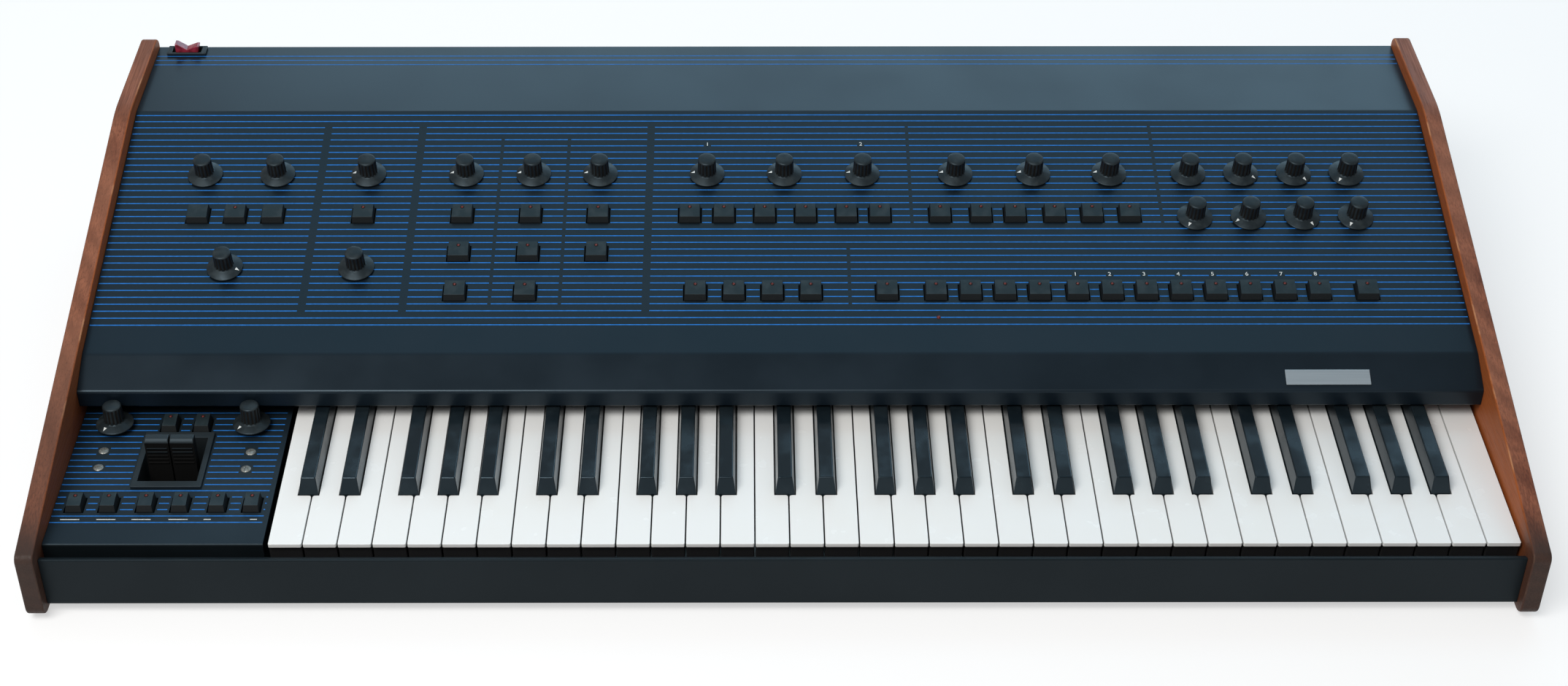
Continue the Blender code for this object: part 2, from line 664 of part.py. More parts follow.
def levers(finish):
    """Two flat paddles side by side, each turning on the axle in the well."""
    rise = KEY_TOP_HEIGHT + LEVER_RISE - AXLE_HEIGHT
    half = LEVER_THICKNESS / 2
    outline = [
        (-half - LEVER_FLARE, 0),
        (-half, rise - LEVER_TIP),
        (-half + LEVER_TIP, rise),
        (half, rise),
        (half + LEVER_FLARE, 0),
    ]
    for degrees in (330, 300, 270, 240, 210):
        turn = math.radians(degrees)
        outline.append((LEVER_BOSS_RADIUS * math.cos(turn), LEVER_BOSS_RADIUS * math.sin(turn)))
    radius = AXLE_RADIUS + AXLE_CLEARANCE
    for name, side in (("modulation_lever", -1), ("pitch_lever", 1)):
        x = WELL_CENTRE[0] + side * LEVER_SPACING / 2
        place = (x, world_y(WELL_CENTRE[1]), world_z(AXLE_HEIGHT))
        made = along_x(outline, -LEVER_WIDTH / 2, LEVER_WIDTH / 2)
        lever = placed(name, made, finish, place)
        bore = turned([(radius, -LEVER_WIDTH), (radius, LEVER_WIDTH)], HOLE_SIDES, axis="X")
        boolean(lever, [bore], "DIFFERENCE")


def pillars(low, high, bottom, top):
    """Four square pillars, just inside the corners of a board given by two of its corners."""
    columns = (low[0] + PILLAR, high[0] - PILLAR)
    rows = (low[1] + PILLAR, high[1] - PILLAR)
    return [standing_block(x, y, (PILLAR, PILLAR), bottom, top) for x in columns for y in rows]


def lever_board(finish):
    """The small board under the lever plate, with its two knobs and eight buttons."""
    face = world_z(KEY_TOP_HEIGHT)
    bottom = face - BOARD_DROP
    low = (-INSIDE_X + BOARD_MARGIN, world_y(LEVER_BOARD_FRONT_DEPTH))
    high = (LEVER_PLATE_RIGHT_X - BOARD_MARGIN, world_y(LEVER_BOARD_REAR_DEPTH))
    board = placed("lever_board", block((*low, bottom), (*high, bottom + BOARD)), finish)
    y = world_y(PULL_KNOBS_DEPTH)
    shapes = [knob((x, y, face), PULL_KNOB_LIFT, BOARD_SINK) for x in PULL_KNOBS_X]
    for x, y in lever_button_places():
        shapes.append(button((x, y, face), SMALL_BUTTON, BOARD_SINK))
    shapes += pillars(low, high, world_z(SEAT_HEIGHT), face + BOARD_SINK)
    boolean(board, shapes, "UNION")
    window = well_block(WELL_WALL + WELL_CLEARANCE, bottom - CUT, bottom + CUT)
    boolean(board, [window], "DIFFERENCE")


# The keys. A key's own axes have its pivot line as X, and the player at -Y.
def black_centres():
    """Centres of an octave's black keys, spaced so that the white tails are equal."""
    places = {}
    groups = ((0, 3, ("c_sharp", "d_sharp")), (3, 4, ("f_sharp", "g_sharp", "a_sharp")))
    for first, whites, names in groups:
        tail = (whites * KEY_PITCH - len(names) * BLACK_NOTCH) / whites
        for i, name in enumerate(names):
            places[name] = first * KEY_PITCH + (i + 1) * tail + (i + 0.5) * BLACK_NOTCH
    return places


def white_outline(index):
    """Plan outline of a white key, round from its front left corner to its front right."""
    octave = KEY_PITCH * KEYS_IN_OCTAVE * (index // KEYS_IN_OCTAVE)
    left = index * KEY_PITCH + KEY_GAP / 2
    right = (index + 1) * KEY_PITCH - KEY_GAP / 2
    lip_rear = KEY_FRONT_Y + KEY_LIP_OVERHANG
    notch = KEY_FRONT_Y + KEY_HEAD
    tail_left = left
    tail_right = right
    if index < KEY_COUNT - 1:
        for centre in black_centres().values():
            low = octave + centre - BLACK_NOTCH / 2
            high = octave + centre + BLACK_NOTCH / 2
            if low < left < high:
                tail_left = high
            if low < right < high:
                tail_right = low
    outline = [(left, KEY_FRONT_Y), (left, lip_rear)]
    if tail_left > left:
        outline += [(left, notch), (tail_left, notch)]
    outline += [(tail_left, KEY_TAIL), (tail_right, KEY_TAIL)]
    if tail_right < right:
        outline += [(tail_right, notch), (right, notch)]
    return outline + [(right, lip_rear), (right, KEY_FRONT_Y)]


def white_key(index):
    """A white key's body, with a thin lip that stands proud along its front edge."""
    outline = white_outline(index)
    set_back = [(x, max(y, KEY_FRONT_Y + KEY_LIP_OVERHANG)) for x, y in outline]
    levels = (
        (outline, KEY_BODY),
        (outline, KEY_BODY - KEY_LIP),
        (set_back, KEY_BODY - KEY_LIP),
        (set_back, 0),
    )
    return loft([[(x, y, z) for x, y in ring] for ring, z in levels])


def pivot_place():
    return (KEYS_LEFT_X, world_y(PIVOT_DEPTH), world_z(KEY_BOTTOM_HEIGHT))


def white_keys(finish):
    """The lowest octave's keys each turn; the others are a comb, joined behind the pivot."""
    for index, note in enumerate("cdefgab"):
        placed(f"white_key_{note}", white_key(index), finish, pivot_place())
    fixed = range(KEYS_IN_OCTAVE, KEY_COUNT)
    first = fixed[0] * KEY_PITCH + KEY_GAP
    last = KEY_COUNT * KEY_PITCH - KEY_GAP
    low = (first, KEY_TAIL - SINK, SINK)
    high = (last, KEY_TAIL + SPINE, KEY_BODY - SINK)
    bank = placed("white_key_bank", block(low, high), finish, pivot_place())
    boolean(bank, [white_key(index) for index in fixed], "UNION")


def black_key(centre):
    """A black key: straight up to the white keys' level, then tapered to its narrow top."""
    front = KEY_FRONT_Y + KEY_HEAD + BLACK_KEY_CLEARANCE
    levels = (
        (BLACK_KEY_WIDTH / 2, front, 0),
        (BLACK_KEY_WIDTH / 2, front, KEY_BODY),
        (BLACK_KEY_TOP_WIDTH / 2, front + BLACK_KEY_NOSE, KEY_BODY + BLACK_KEY_RISE),
    )
    rings = []
    for half, start, z in levels:
        left = centre - half
        right = centre + half
        ring = ((left, start), (right, start), (right, BLACK_KEY_TAIL), (left, BLACK_KEY_TAIL))
        rings.append([(x, y, z) for x, y in ring])
    return loft(rings)


def black_keys(finish):
    """As the white keys, but the fixed ones are joined by a strip above their rear ends."""
    centres = black_centres()
    for name, centre in centres.items():
        placed(f"black_key_{name}", black_key(centre), finish, pivot_place())
    fixed = []
    for octave in range(1, KEY_COUNT // KEYS_IN_OCTAVE):
        start = octave * KEYS_IN_OCTAVE * KEY_PITCH
        fixed += [start + centre for centre in centres.values()]
    bottom = KEY_BODY + BLACK_SPINE_LIFT
    low = (fixed[0], -BLACK_SPINE[0] - SINK, bottom)
    high = (fixed[-1], -SINK, bottom + BLACK_SPINE[1])
    bank = placed("black_key_bank", block(low, high), finish, pivot_place())
    boolean(bank, [black_key(centre) for centre in fixed], "UNION")


def key_frame(finish):
    """The folded channel under the keys: a front step stops them, a rear ridge carries them."""
    front = RAIL_DEPTH + SHEET + RAIL_FOOT + KEY_FRAME_GAP
    seat = KEY_BOTTOM_HEIGHT - GAP
    rear = PIVOT_DEPTH + KEY_TAIL + SPINE
    path = [
        (rear, SEAT_HEIGHT),
        (rear, seat),
        (PIVOT_DEPTH, seat),
        (PIVOT_DEPTH, SEAT_HEIGHT + SHEET),
        (front + KEY_STOP_WIDTH, SEAT_HEIGHT + SHEET),
        (front + KEY_STOP_WIDTH, KEY_STOP_HEIGHT),
        (front, KEY_STOP_HEIGHT),
        (front, SEAT_HEIGHT),
    ]
    right = SHEET_END_X - SHEET - SINK
    outline = world_outline(sheet_outline(path))
    placed("key_frame", along_x(outline, KEYS_LEFT_X, right), finish)


# The main panel's board, its fixed controls and the ones that move
def panel_board(finish):
    """The board under the slope. It carries the fixed controls, the pots and the switches."""
    low = (VOLUME_X - PANEL_BOARD_END, LOWER_BUTTON_ROW - PANEL_BOARD_EDGE)
    high = (ENVELOPE_X + 3 * ENVELOPE_PITCH + PANEL_BOARD_END, UPPER_ROW + PANEL_BOARD_EDGE)
    made = block((*low, -BOARD_DROP), (*high, BOARD - BOARD_DROP))
    board = placed("panel_board", made, finish, on_panel(0, 0), PANEL_TILT)
    shapes = [knob((*place, 0), KNOB_LIFT, BOARD_SINK) for place in fixed_knob_places()]
    shapes += [button((*place, 0), BUTTON, BOARD_SINK) for place in fixed_button_places()]
    for x, y in moving_knob_places().values():
        shapes.append(standing_block(x, y, (POT, POT), BOARD_SINK, -POT_TOP))
    switch_top = -BUTTON_DROP - BUTTON_TRAVEL - GAP
    for x, y in program_button_places():
        shapes.append(standing_block(x, y, (SWITCH_BLOCK, SWITCH_BLOCK), BOARD_SINK, switch_top))
    under_panel = -SHEET - GAP
    shapes += pillars(low, high, BOARD_SINK, under_panel)
    for x in STANDOFFS_X:
        shapes += pillars((x - PILLAR, low[1]), (x + PILLAR, high[1]), BOARD_SINK, under_panel)
    boolean(board, shapes, "UNION")


def panel_knobs(finish):
    for name, place in moving_knob_places().items():
        made = knob((0, 0, 0), KNOB_LIFT, GAP - POT_TOP)
        smooth(placed(name, made, finish, on_panel(*place), PANEL_TILT))


def program_buttons(finish):
    for i, place in enumerate(program_button_places()):
        made = button((0, 0, 0), BUTTON, -BUTTON_DROP)
        placed(f"program_button_{i + 1}", made, finish, on_panel(*place), PANEL_TILT)


# The power switch
def switch_place():
    return (SWITCH_X, world_y(CASE_DEPTH - SWITCH_INSET), world_z(PANEL_HEIGHT))


def power_switch_housing(finish):
    flange = standing_block(0, 0, SWITCH_FLANGE, GAP, SWITCH_FLANGE[2])
    housing = placed("power_switch_housing", flange, finish, switch_place())
    body = standing_block(0, 0, SWITCH_BODY, -SWITCH_BODY_BOTTOM, GAP + SINK)
    boolean(housing, [body], "UNION")
    hollow = (SWITCH_BODY[0] - 2 * SWITCH_WALL, ROCKER_WIDTH + 2 * GAP)
    well = standing_block(0, 0, hollow, -SWITCH_WELL_BOTTOM, CUT)
    boolean(housing, [well], "DIFFERENCE")


def power_rocker(finish):
    """The V-shaped rocker, which turns about its middle and rests with its left end up."""
    reach = SWITCH_BODY[0] / 2 - SWITCH_WALL - ROCKER_END_GAP
    right_half = [
        (0, ROCKER_RISE - ROCKER_DIP),
        (reach - ROCKER_LAND, ROCKER_RISE),
        (reach, ROCKER_RISE),
        (reach - ROCKER_TAPER, 0),
        (ROCKER_FOOT / 2, -ROCKER_FOOT_BOTTOM),
    ]
    left_half = [(-x, z) for x, z in right_half[:0:-1]]
    made = along_y(right_half + left_half, -ROCKER_WIDTH / 2, ROCKER_WIDTH / 2)
    rocker = placed("power_rocker", made, finish, switch_place())
    rocker.rotation_euler = (0, ROCKER_TILT, 0)


# What sits inside the case and on its rear
def lower_board(name, finish, xs, depths, components):
    """A circuit board on four pillars, with (x, depth, size) blocks for its components."""
    bottom = world_z(PAN_TOP + PAN_CLEARANCE)
    low = (xs[0], world_y(depths[0]))
    high = (xs[1], world_y(depths[1]))
    board = placed(name, block((*low, bottom), (*high, bottom + BOARD)), finish)
    legs = bottom + BOARD / 2
    shapes = pillars(low, high, world_z(SEAT_HEIGHT), legs)
    for x, depth, size in components:
        shapes.append(standing_block(x, world_y(depth), size, legs, bottom + BOARD + size[2]))
    boolean(board, shapes, "UNION")


def circuit_boards(finish):
    for name, left in zip(("lower_voice_board", "upper_voice_board"), VOICE_BOARD_X):
        columns = [left + CHIP_EDGE + i * VOICE_CHIP_PITCH for i in range(4)]
        chips = [(x, depth, CHIP) for x in columns for depth in CHIP_ROWS_DEPTH]
        lower_board(name, finish, (left, left + VOICE_BOARD_WIDTH), VOICE_BOARD_DEPTHS, chips)
    columns = [PROCESSOR_BOARD_X[0] + CHIP_EDGE + i * PROCESSOR_CHIP_PITCH for i in range(3)]
    chips = [(x, depth, CHIP) for x in columns for depth in CHIP_ROWS_DEPTH[:2]]
    lower_board("processor_board", finish, PROCESSOR_BOARD_X, PROCESSOR_BOARD_DEPTHS, chips)
    supply = [(x, CAPACITORS_DEPTH, CAPACITOR) for x in CAPACITORS_X]
    supply.append((HEAT_SINK_X, HEAT_SINK_DEPTH, HEAT_SINK))
    lower_board("power_supply_board", finish, PROCESSOR_BOARD_X, POWER_BOARD_DEPTHS, supply)


def power_transformer(finish):
    """A laminated core on a foot, with its winding standing out at the front and rear."""
    place = (
        -INSIDE_X + TRANSFORMER_PLACE[0],
        world_y(TRANSFORMER_PLACE[1]),
        world_z(SEAT_HEIGHT),
    )
    made = standing_block(0, 0, TRANSFORMER_CORE, 0, TRANSFORMER_CORE[2])
    core = placed("power_transformer", made, finish, place)
    middle = TRANSFORMER_CORE[2] / 2
    half = TRANSFORMER_WINDING[2] / 2
    winding = standing_block(0, 0, TRANSFORMER_WINDING, middle - half, middle + half)
    boolean(core, [winding], "UNION")
    foot = standing_block(0, 0, TRANSFORMER_FOOT, 0, TRANSFORMER_FOOT[2])
    boolean(core, [foot], "UNION")


def jack_strip(finish):
    """A board behind the rear panel, with sockets whose necks pass through the panel."""
    face = world_y(REAR_PANEL_DEPTH)
    inner_face = face - SHEET - GAP
    board_front = inner_face - JACK_BODY
    middle = world_z(JACK_HEIGHT)
    half = JACK_STRIP_HEIGHT / 2
    last_x = JACK_FIRST_X + (JACK_COUNT - 1) * JACK_PITCH
    low = (JACK_FIRST_X - JACK_STRIP_EDGE, board_front, middle - half)
    high = (last_x + JACK_STRIP_EDGE, board_front + BOARD, middle + half)
    strip = placed("jack_strip", block(low, high), finish)
    neck = [(JACK_NECK_RADIUS, -SHEET - GAP - SINK), (JACK_NECK_RADIUS, FLANGE_PROUD)]
    bore = [(JACK_BORE_RADIUS, -JACK_BORE_LENGTH), (JACK_BORE_RADIUS, CUT)]
    bodies = []
    necks = []
    bores = []
    for i in range(JACK_COUNT):
        x = JACK_FIRST_X + i * JACK_PITCH
        low = (x - JACK_BODY / 2, board_front + SINK, middle - JACK_BODY / 2)
        high = (x + JACK_BODY / 2, inner_face, middle + JACK_BODY / 2)
        bodies.append(block(low, high))
        necks.append(turned(neck, HOLE_SIDES, (x, face, middle), "Y"))
        bores.append(turned(bore, HOLE_SIDES, (x, face, middle), "Y"))
    boolean(strip, bodies, "UNION")
    boolean(strip, necks, "UNION")
    boolean(strip, bores, "DIFFERENCE")


def rear_block(size, front, rear):
    """A block centred on the mains inlet, between two distances from the rear panel's face."""
    face = world_y(REAR_PANEL_DEPTH)
    middle = world_z(INLET_HEIGHT)
    low = (INLET_X - size[0] / 2, face + front, middle - size[1] / 2)
    high = (INLET_X + size[0] / 2, face + rear, middle + size[1] / 2)
    return block(low, high)


def mains_inlet(finish):
    """The mains inlet: a flange on the rear panel and a deep rectangular socket."""
    inlet = placed("mains_inlet", rear_block(INLET_FLANGE, GAP, FLANGE_PROUD), finish)
    body = rear_block(INLET_BODY, -INLET_SOCKET_DEPTH - INLET_FLOOR, GAP + SINK)
    boolean(inlet, [body], "UNION")
    boolean(inlet, [rear_block(INLET_SOCKET, -INLET_SOCKET_DEPTH, CUT)], "DIFFERENCE")


def build():
    for obj in list(bpy.data.objects):
        bpy.data.objects.remove(obj, do_unlink=True)
    walnut = material("walnut", (0.18, 0.07, 0.035), 0.45)
    panel_paint = material("panel_paint", (0.02, 0.04, 0.075), 0.4)
    base_paint = material("base_paint", (0.02, 0.025, 0.035), 0.5)
    steel = material("steel", (0.55, 0.55, 0.56), 0.35, 1.0)
    plate_metal = material("plate_metal", (0.6, 0.6, 0.6), 0.35, 1.0)
    key_white = material("key_white", (0.85, 0.84, 0.8), 0.25)
    key_black = material("key_black", (0.01, 0.01, 0.012), 0.15)
    knob_plastic = material("knob_plastic", (0.015, 0.018, 0.022), 0.45)
    black_plastic = material("black_plastic", (0.02, 0.02, 0.02), 0.5)
    circuit_board = material("circuit_board", (0.02, 0.12, 0.05), 0.5)
    rocker_red = material("rocker_red", (0.45, 0.01, 0.02), 0.25)
    rubber = material("rubber", (0.02, 0.02, 0.02), 0.8)
    cheeks(walnut)
    top_panel(panel_paint)
    name_plate(plate_metal)
    bottom_pan(base_paint)
    front_rail(base_paint)
    rear_panel(base_paint)
    feet(rubber)
    lever_plate(panel_paint)
    lever_box(black_plastic)
    lever_axle(steel)
    levers(black_plastic)
    lever_board(circuit_board)
    key_frame(steel)
    white_keys(key_white)
    black_keys(key_black)
    panel_board(circuit_board)
    panel_knobs(knob_plastic)
    program_buttons(black_plastic)
    power_switch_housing(black_plastic)
    power_rocker(rocker_red)
    circuit_boards(circuit_board)
    power_transformer(steel)
    jack_strip(black_plastic)
    mains_inlet(black_plastic)


build()
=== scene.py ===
"""An analog synthesizer with 61 keys, as it stands on a pale floor.

Shapes are made in millimetres on the case's own axes: x from the middle of the case to the
player's right, y as depth behind the front of the wooden cheeks, and z as height over the
case's underside, 10 mm above the floor. A finished piece is then set down in the frame, in metres.
"""
import math

import bmesh
import bpy
from mathutils import Matrix, Vector


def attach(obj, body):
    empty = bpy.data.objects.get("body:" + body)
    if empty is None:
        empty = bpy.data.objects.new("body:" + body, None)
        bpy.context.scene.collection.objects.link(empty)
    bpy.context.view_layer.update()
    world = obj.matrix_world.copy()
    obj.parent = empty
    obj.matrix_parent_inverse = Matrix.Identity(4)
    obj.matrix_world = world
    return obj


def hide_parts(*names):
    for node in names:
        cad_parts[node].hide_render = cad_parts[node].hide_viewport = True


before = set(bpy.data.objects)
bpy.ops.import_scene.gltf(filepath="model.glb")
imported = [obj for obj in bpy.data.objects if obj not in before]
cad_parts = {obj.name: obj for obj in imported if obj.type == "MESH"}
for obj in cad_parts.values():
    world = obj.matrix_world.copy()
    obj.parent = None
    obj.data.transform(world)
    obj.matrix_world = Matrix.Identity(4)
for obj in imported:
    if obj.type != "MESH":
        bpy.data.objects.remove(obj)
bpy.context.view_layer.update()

scene = bpy.context.scene

# Camera. The photograph was taken from in front and above, from just left of the middle,
# with a lens of moderate length. Its place follows from the corners of the case.
MM = 0.001
PHOTO_WIDTH = 2148
FOCAL_LENGTH = 3372.7  # in the photograph's pixels
VIEW_CENTRE = 1018.95
lens = bpy.data.cameras.new("camera")
lens.sensor_width = 36
lens.lens = FOCAL_LENGTH * lens.sensor_width / PHOTO_WIDTH
lens.shift_x = 0.5 - VIEW_CENTRE / PHOTO_WIDTH
camera = bpy.data.objects.new("camera", lens)
camera.location = (-0.02577, -1.4668, 1.1629)
look_down = Matrix.Rotation(math.radians(90 - 37.462), 4, "X")
camera.rotation_euler = (look_down @ Matrix.Rotation(math.radians(-0.063), 4, "Z")).to_euler()
scene.collection.objects.link(camera)
scene.camera = camera


# Bottom pan. One sheet of 1.6 mm steel with a low flange folded up along each cheek, sprayed
# satin black. Everything inside stands on it, and screws through the flanges hold the cheeks.
class Wire:
    """A value that varies over a finish. Arithmetic on it adds Math nodes."""

    def __init__(self, finish, socket):
        self.finish = finish
        self.socket = socket

    def maths(self, operation, *values):
        return self.finish.node("Math", {"operation": operation}, dict(enumerate(values)))

    def __add__(self, other):
        return self.maths("ADD", self, other)

    def __radd__(self, other):
        return self.maths("ADD", other, self)

    def __sub__(self, other):
        return self.maths("SUBTRACT", self, other)

    def __rsub__(self, other):
        return self.maths("SUBTRACT", other, self)

    def __mul__(self, other):
        return self.maths("MULTIPLY", self, other)

    def __rmul__(self, other):
        return self.maths("MULTIPLY", other, self)

    def __gt__(self, other):
        return self.maths("GREATER_THAN", self, other)

    def __abs__(self):
        return self.maths("ABSOLUTE", self)

    def rise(self, low, high):
        """0 where the value is below low, 1 where it is above high, and smooth between."""
        settings = {"interpolation_type": "SMOOTHSTEP"}
        return self.finish.node("MapRange", settings, {0: self, 1: low, 2: high})


class Finish:
    """A material that is built from nodes on a piece's own Object coordinates."""

    def __init__(self, name, colour, roughness, metallic=0.0, **plain):
        self.material = bpy.data.materials.new(name)
        self.material.use_nodes = True
        self.tree = self.material.node_tree
        self.shader = self.tree.nodes["Principled BSDF"]
        self.place = self.node("TexCoord", output="Object")
        self.set(Base_Color=colour, Roughness=roughness, Metallic=metallic, **plain)

    def fill(self, socket, value):
        if isinstance(value, Wire):
            self.tree.links.new(value.socket, socket)
        elif socket.type == "RGBA":
            socket.default_value = (*value, 1)
        else:
            socket.default_value = value

    def set(self, **values):
        """Sets the shader's own sockets, with their names' spaces written as underscores."""
        for name, value in values.items():
            self.fill(self.shader.inputs[name.replace("_", " ")], value)

    def node(self, kind, settings=None, inputs=None, output=0):
        """Adds a node by its type, sets its settings and sockets, and returns an output."""
        made = self.tree.nodes.new("ShaderNode" + kind)
        for name, value in (settings or {}).items():
            setattr(made, name, value)
        for key, value in (inputs or {}).items():
            self.fill(made.inputs[key], value)
        return Wire(self, made.outputs[output])

    def noise(self, scale, detail=2, stretch=(1, 1, 1)):
        place = self.place
        if stretch != (1, 1, 1):
            place = self.node("Mapping", None, {"Vector": place, "Scale": stretch})
        return self.node("TexNoise", None, {"Vector": place, "Scale": scale, "Detail": detail})

    def mix(self, share, first, second):
        return self.node("Mix", {"data_type": "RGBA"}, {0: share, 6: first, 7: second}, 2)

    def relief(self, height, depth, strength=1.0):
        """Bumps of a depth in millimetres."""
        inputs = {"Height": height, "Distance": depth * MM, "Strength": strength}
        self.set(Normal=self.node("Bump", None, inputs))


BLUISH = (0.64, 0.85, 1)


def sprayed(name, colour, roughness, metallic=0.0, level=0.3):
    """Satin paint: a faint orange peel, hands' smears in its gloss and a little dust."""
    paint = Finish(name, colour, roughness, metallic, Specular_IOR_Level=level)
    paint.set(Specular_Tint=BLUISH)
    smears = paint.noise(11, 4).rise(0.35, 0.7)
    dust = paint.noise(2600, 1).rise(0.66, 0.8)
    lighter = tuple(part * 1.16 + 0.001 for part in colour)
    darker = tuple(part * 0.88 for part in colour)
    pale = tuple(part * 1.5 + 0.01 for part in colour)
    paint.set(Base_Color=paint.mix(dust * 0.3, paint.mix(smears, darker, lighter), pale))
    paint.set(Roughness=roughness - 0.04 + smears * 0.08 + dust * 0.1)
    paint.relief(paint.noise(900, 2), 0.012)
    return paint


SHEET = 1.6
FOOT_HEIGHT = 10
DEPTH = 520
TO_FRAME = Matrix.Scale(MM, 4) @ Matrix.Translation((0, -DEPTH / 2, FOOT_HEIGHT))


def folded_sheet(path, bends, sweep, thickness=SHEET):
    """A sheet whose outer face follows a path of points, with each fold's reach listed."""
    made = bmesh.new()
    points = [made.verts.new(point) for point in path]
    edges = [made.edges.new(pair) for pair in zip(points, points[1:])]
    grown = bmesh.ops.extrude_edge_only(made, edges=edges)["geom"]
    moved = [item for item in grown if isinstance(item, bmesh.types.BMVert)]
    bmesh.ops.translate(made, verts=moved, vec=sweep)
    for point, reach in zip(path[1:-1], bends):
        near = [vert for vert in made.verts if (vert.co - Vector(point)).length < 1e-3]
        fold = [edge for edge in near[0].link_edges if len(edge.link_faces) == 2]
        bmesh.ops.bevel(
            made, geom=fold, offset=reach, segments=5, profile=0.5, affect="EDGES", material=-1
        )
    bmesh.ops.solidify(made, geom=made.faces[:], thickness=thickness)
    bmesh.ops.recalc_face_normals(made, faces=made.faces)
    return made


def piece(name, shape, finishes, body="case", replaced=()):
    """Sets a shape down in the frame as a piece that rides on a body."""
    shape.transform(TO_FRAME)
    mesh = bpy.data.meshes.new(name)
    shape.to_mesh(mesh)
    shape.free()
    for finish in finishes:
        mesh.materials.append(finish.material)
    mesh.shade_smooth()
    mesh.set_sharp_from_angle(angle=math.radians(35))
    made = bpy.data.objects.new(name, mesh)
    scene.collection.objects.link(made)
    shading = made.modifiers.new("even shading", "WEIGHTED_NORMAL")
    shading.keep_sharp = True
    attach(made, body)
    if replaced:
        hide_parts(*replaced)
    return made


base_paint = sprayed("base_paint", (0.02, 0.026, 0.031), 0.5)
SHEET_END = 497.2
PAN_FRONT = 24.9
PAN_REAR = 517.6
pan_path = [(-SHEET_END, PAN_FRONT, 12.6), (-SHEET_END, PAN_FRONT, 1)]
pan_path += [(SHEET_END, PAN_FRONT, 1), (SHEET_END, PAN_FRONT, 12.6)]
pan = folded_sheet(pan_path, (2.4, 2.4), (0, PAN_REAR - PAN_FRONT, 0), -SHEET)
piece("pan", pan, [base_paint], replaced=["bottom_pan"])


# Feet. Four moulded rubber discs under the pan, each held by a screw in its hollow middle.
# They are matt black, with a soft lower rim that has picked up some dust.
def turned(profile, steps=48, centre=(0, 0, 0), turn=None):
    """A solid of revolution of (radius, height) points, from the axis round to the axis."""
    made = bmesh.new()
    verts = [made.verts.new((radius, 0, height)) for radius, height in profile]
    edges = [made.edges.new(pair) for pair in zip(verts, verts[1:])]
    bmesh.ops.spin(
        made, geom=verts + edges, axis=(0, 0, 1), cent=(0, 0, 0), angle=2 * math.pi,
        steps=steps, use_merge=True,
    )
    bmesh.ops.remove_doubles(made, verts=made.verts, dist=1e-4)
    bmesh.ops.recalc_face_normals(made, faces=made.faces)
    made.transform(Matrix.Translation(centre) @ (turn or Matrix.Identity(4)))
    return made


rubber = Finish("rubber", (0.02, 0.02, 0.021), 0.8, Specular_IOR_Level=0.3)
rubber_dust = rubber.noise(300, 3).rise(0.5, 0.75)
rubber.set(Base_Color=rubber.mix(rubber_dust * 0.5, (0.016, 0.016, 0.017), (0.07, 0.068, 0.062)))
rubber.relief(rubber.noise(1500, 2), 0.05)
foot_profile = [(0, -7), (3.4, -7), (4, -9), (4.8, -9.8), (5.6, -10), (10.2, -10), (11.2, -9.4)]
foot_profile += [(12.6, -2.4), (13, -1.2), (12.8, 0.2), (12.2, 0.7), (0, 0.7)]
for side, name in ((-1, "left"), (1, "right")):
    for depth, end in ((60, "front"), (460, "rear")):
        foot = turned(foot_profile, centre=(side * 437.5, depth, 0))
        node = f"foot_{end}_{name}"
        piece(f"{end}_{name}_foot", foot, [rubber], replaced=[node])

# Transformer, key frame and lever axle. Laminated iron with a taped winding, folded sheet
# and a turned pin, all bare steel that has dulled a little inside the case.
steel = Finish("dull_steel", (0.42, 0.42, 0.41), 0.38, 1.0)
tarnish = steel.noise(60, 4).rise(0.35, 0.75)
steel.set(Base_Color=steel.mix(tarnish, (0.5, 0.5, 0.49), (0.3, 0.29, 0.27)))
steel.set(Roughness=0.3 + tarnish * 0.2)
steel.relief(steel.noise(400, 2, (1, 8, 1)), 0.01)


def repaint(node, finish):
    """Gives a CAD node that keeps its shape a finish of its own."""
    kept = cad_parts[node]
    for held in kept.material_slots:
        held.material = finish.material


for node in ("power_transformer", "key_frame", "lever_axle"):
    repaint(node, steel)

# Circuit boards inside. Glass fibre under green solder mask, with soldered black chips; the
# blue capacitors are not given their colour. They stand on the pan on spacers, and no part of
# them shows from outside.
green_board = Finish("green_board", (0.02, 0.13, 0.06), 0.4)
board_height = green_board.node("SeparateXYZ", None, {0: green_board.place}, 2)
tracks = green_board.noise(220, 1, (1, 0.15, 1)).rise(0.48, 0.52)
mask_colour = green_board.mix(tracks, (0.012, 0.085, 0.035), (0.03, 0.17, 0.08))
chips = board_height > 0.0228
green_board.set(Base_Color=green_board.mix(chips, mask_colour, (0.018, 0.018, 0.02)))
green_board.relief(tracks, 0.05)
lower_boards = ("lower_voice_board", "upper_voice_board", "processor_board")
for node in (*lower_boards, "power_supply_board"):
    repaint(node, green_board)

# White keys. Gloss acrylic tops moulded on hollow bodies, each with a thin lip along its
# front. Everything below the lip is painted near black, as painted shade. They hang on the key
# frame at the rear. One octave moves, and the rest are alike.
FROM_FRAME = TO_FRAME.inverted()
KEY_PITCH = 23.4
OCTAVE = 7 * KEY_PITCH
KEYS_LEFT = -346
KEY_FRONT = 22.5
KEY_TOP = 41
KEY_LIP = 3
NOTCH = 72.5
key_white = Finish("key_white", (0.9, 0.9, 0.89), 0.2, Coat_Weight=0.25, Coat_Roughness=0.08)
yellowing = key_white.noise(9, 3).rise(0.4, 0.75)
finger_grease = key_white.noise(55, 3).rise(0.52, 0.72)
key_white.set(Base_Color=key_white.mix(yellowing, (0.9, 0.905, 0.895), (0.89, 0.885, 0.86)))
key_white.set(Roughness=0.17 + finger_grease * 0.14)
key_white.relief(key_white.noise(180, 1), 0.02, 0.6)
# Near-black painted shade for the keys below their lips, where the white tops overhang.
painted_key_shade = Finish("painted_key_shade", (0.012, 0.012, 0.013), 0.5)
painted_key_shade_grain = painted_key_shade.noise(1200, 2)
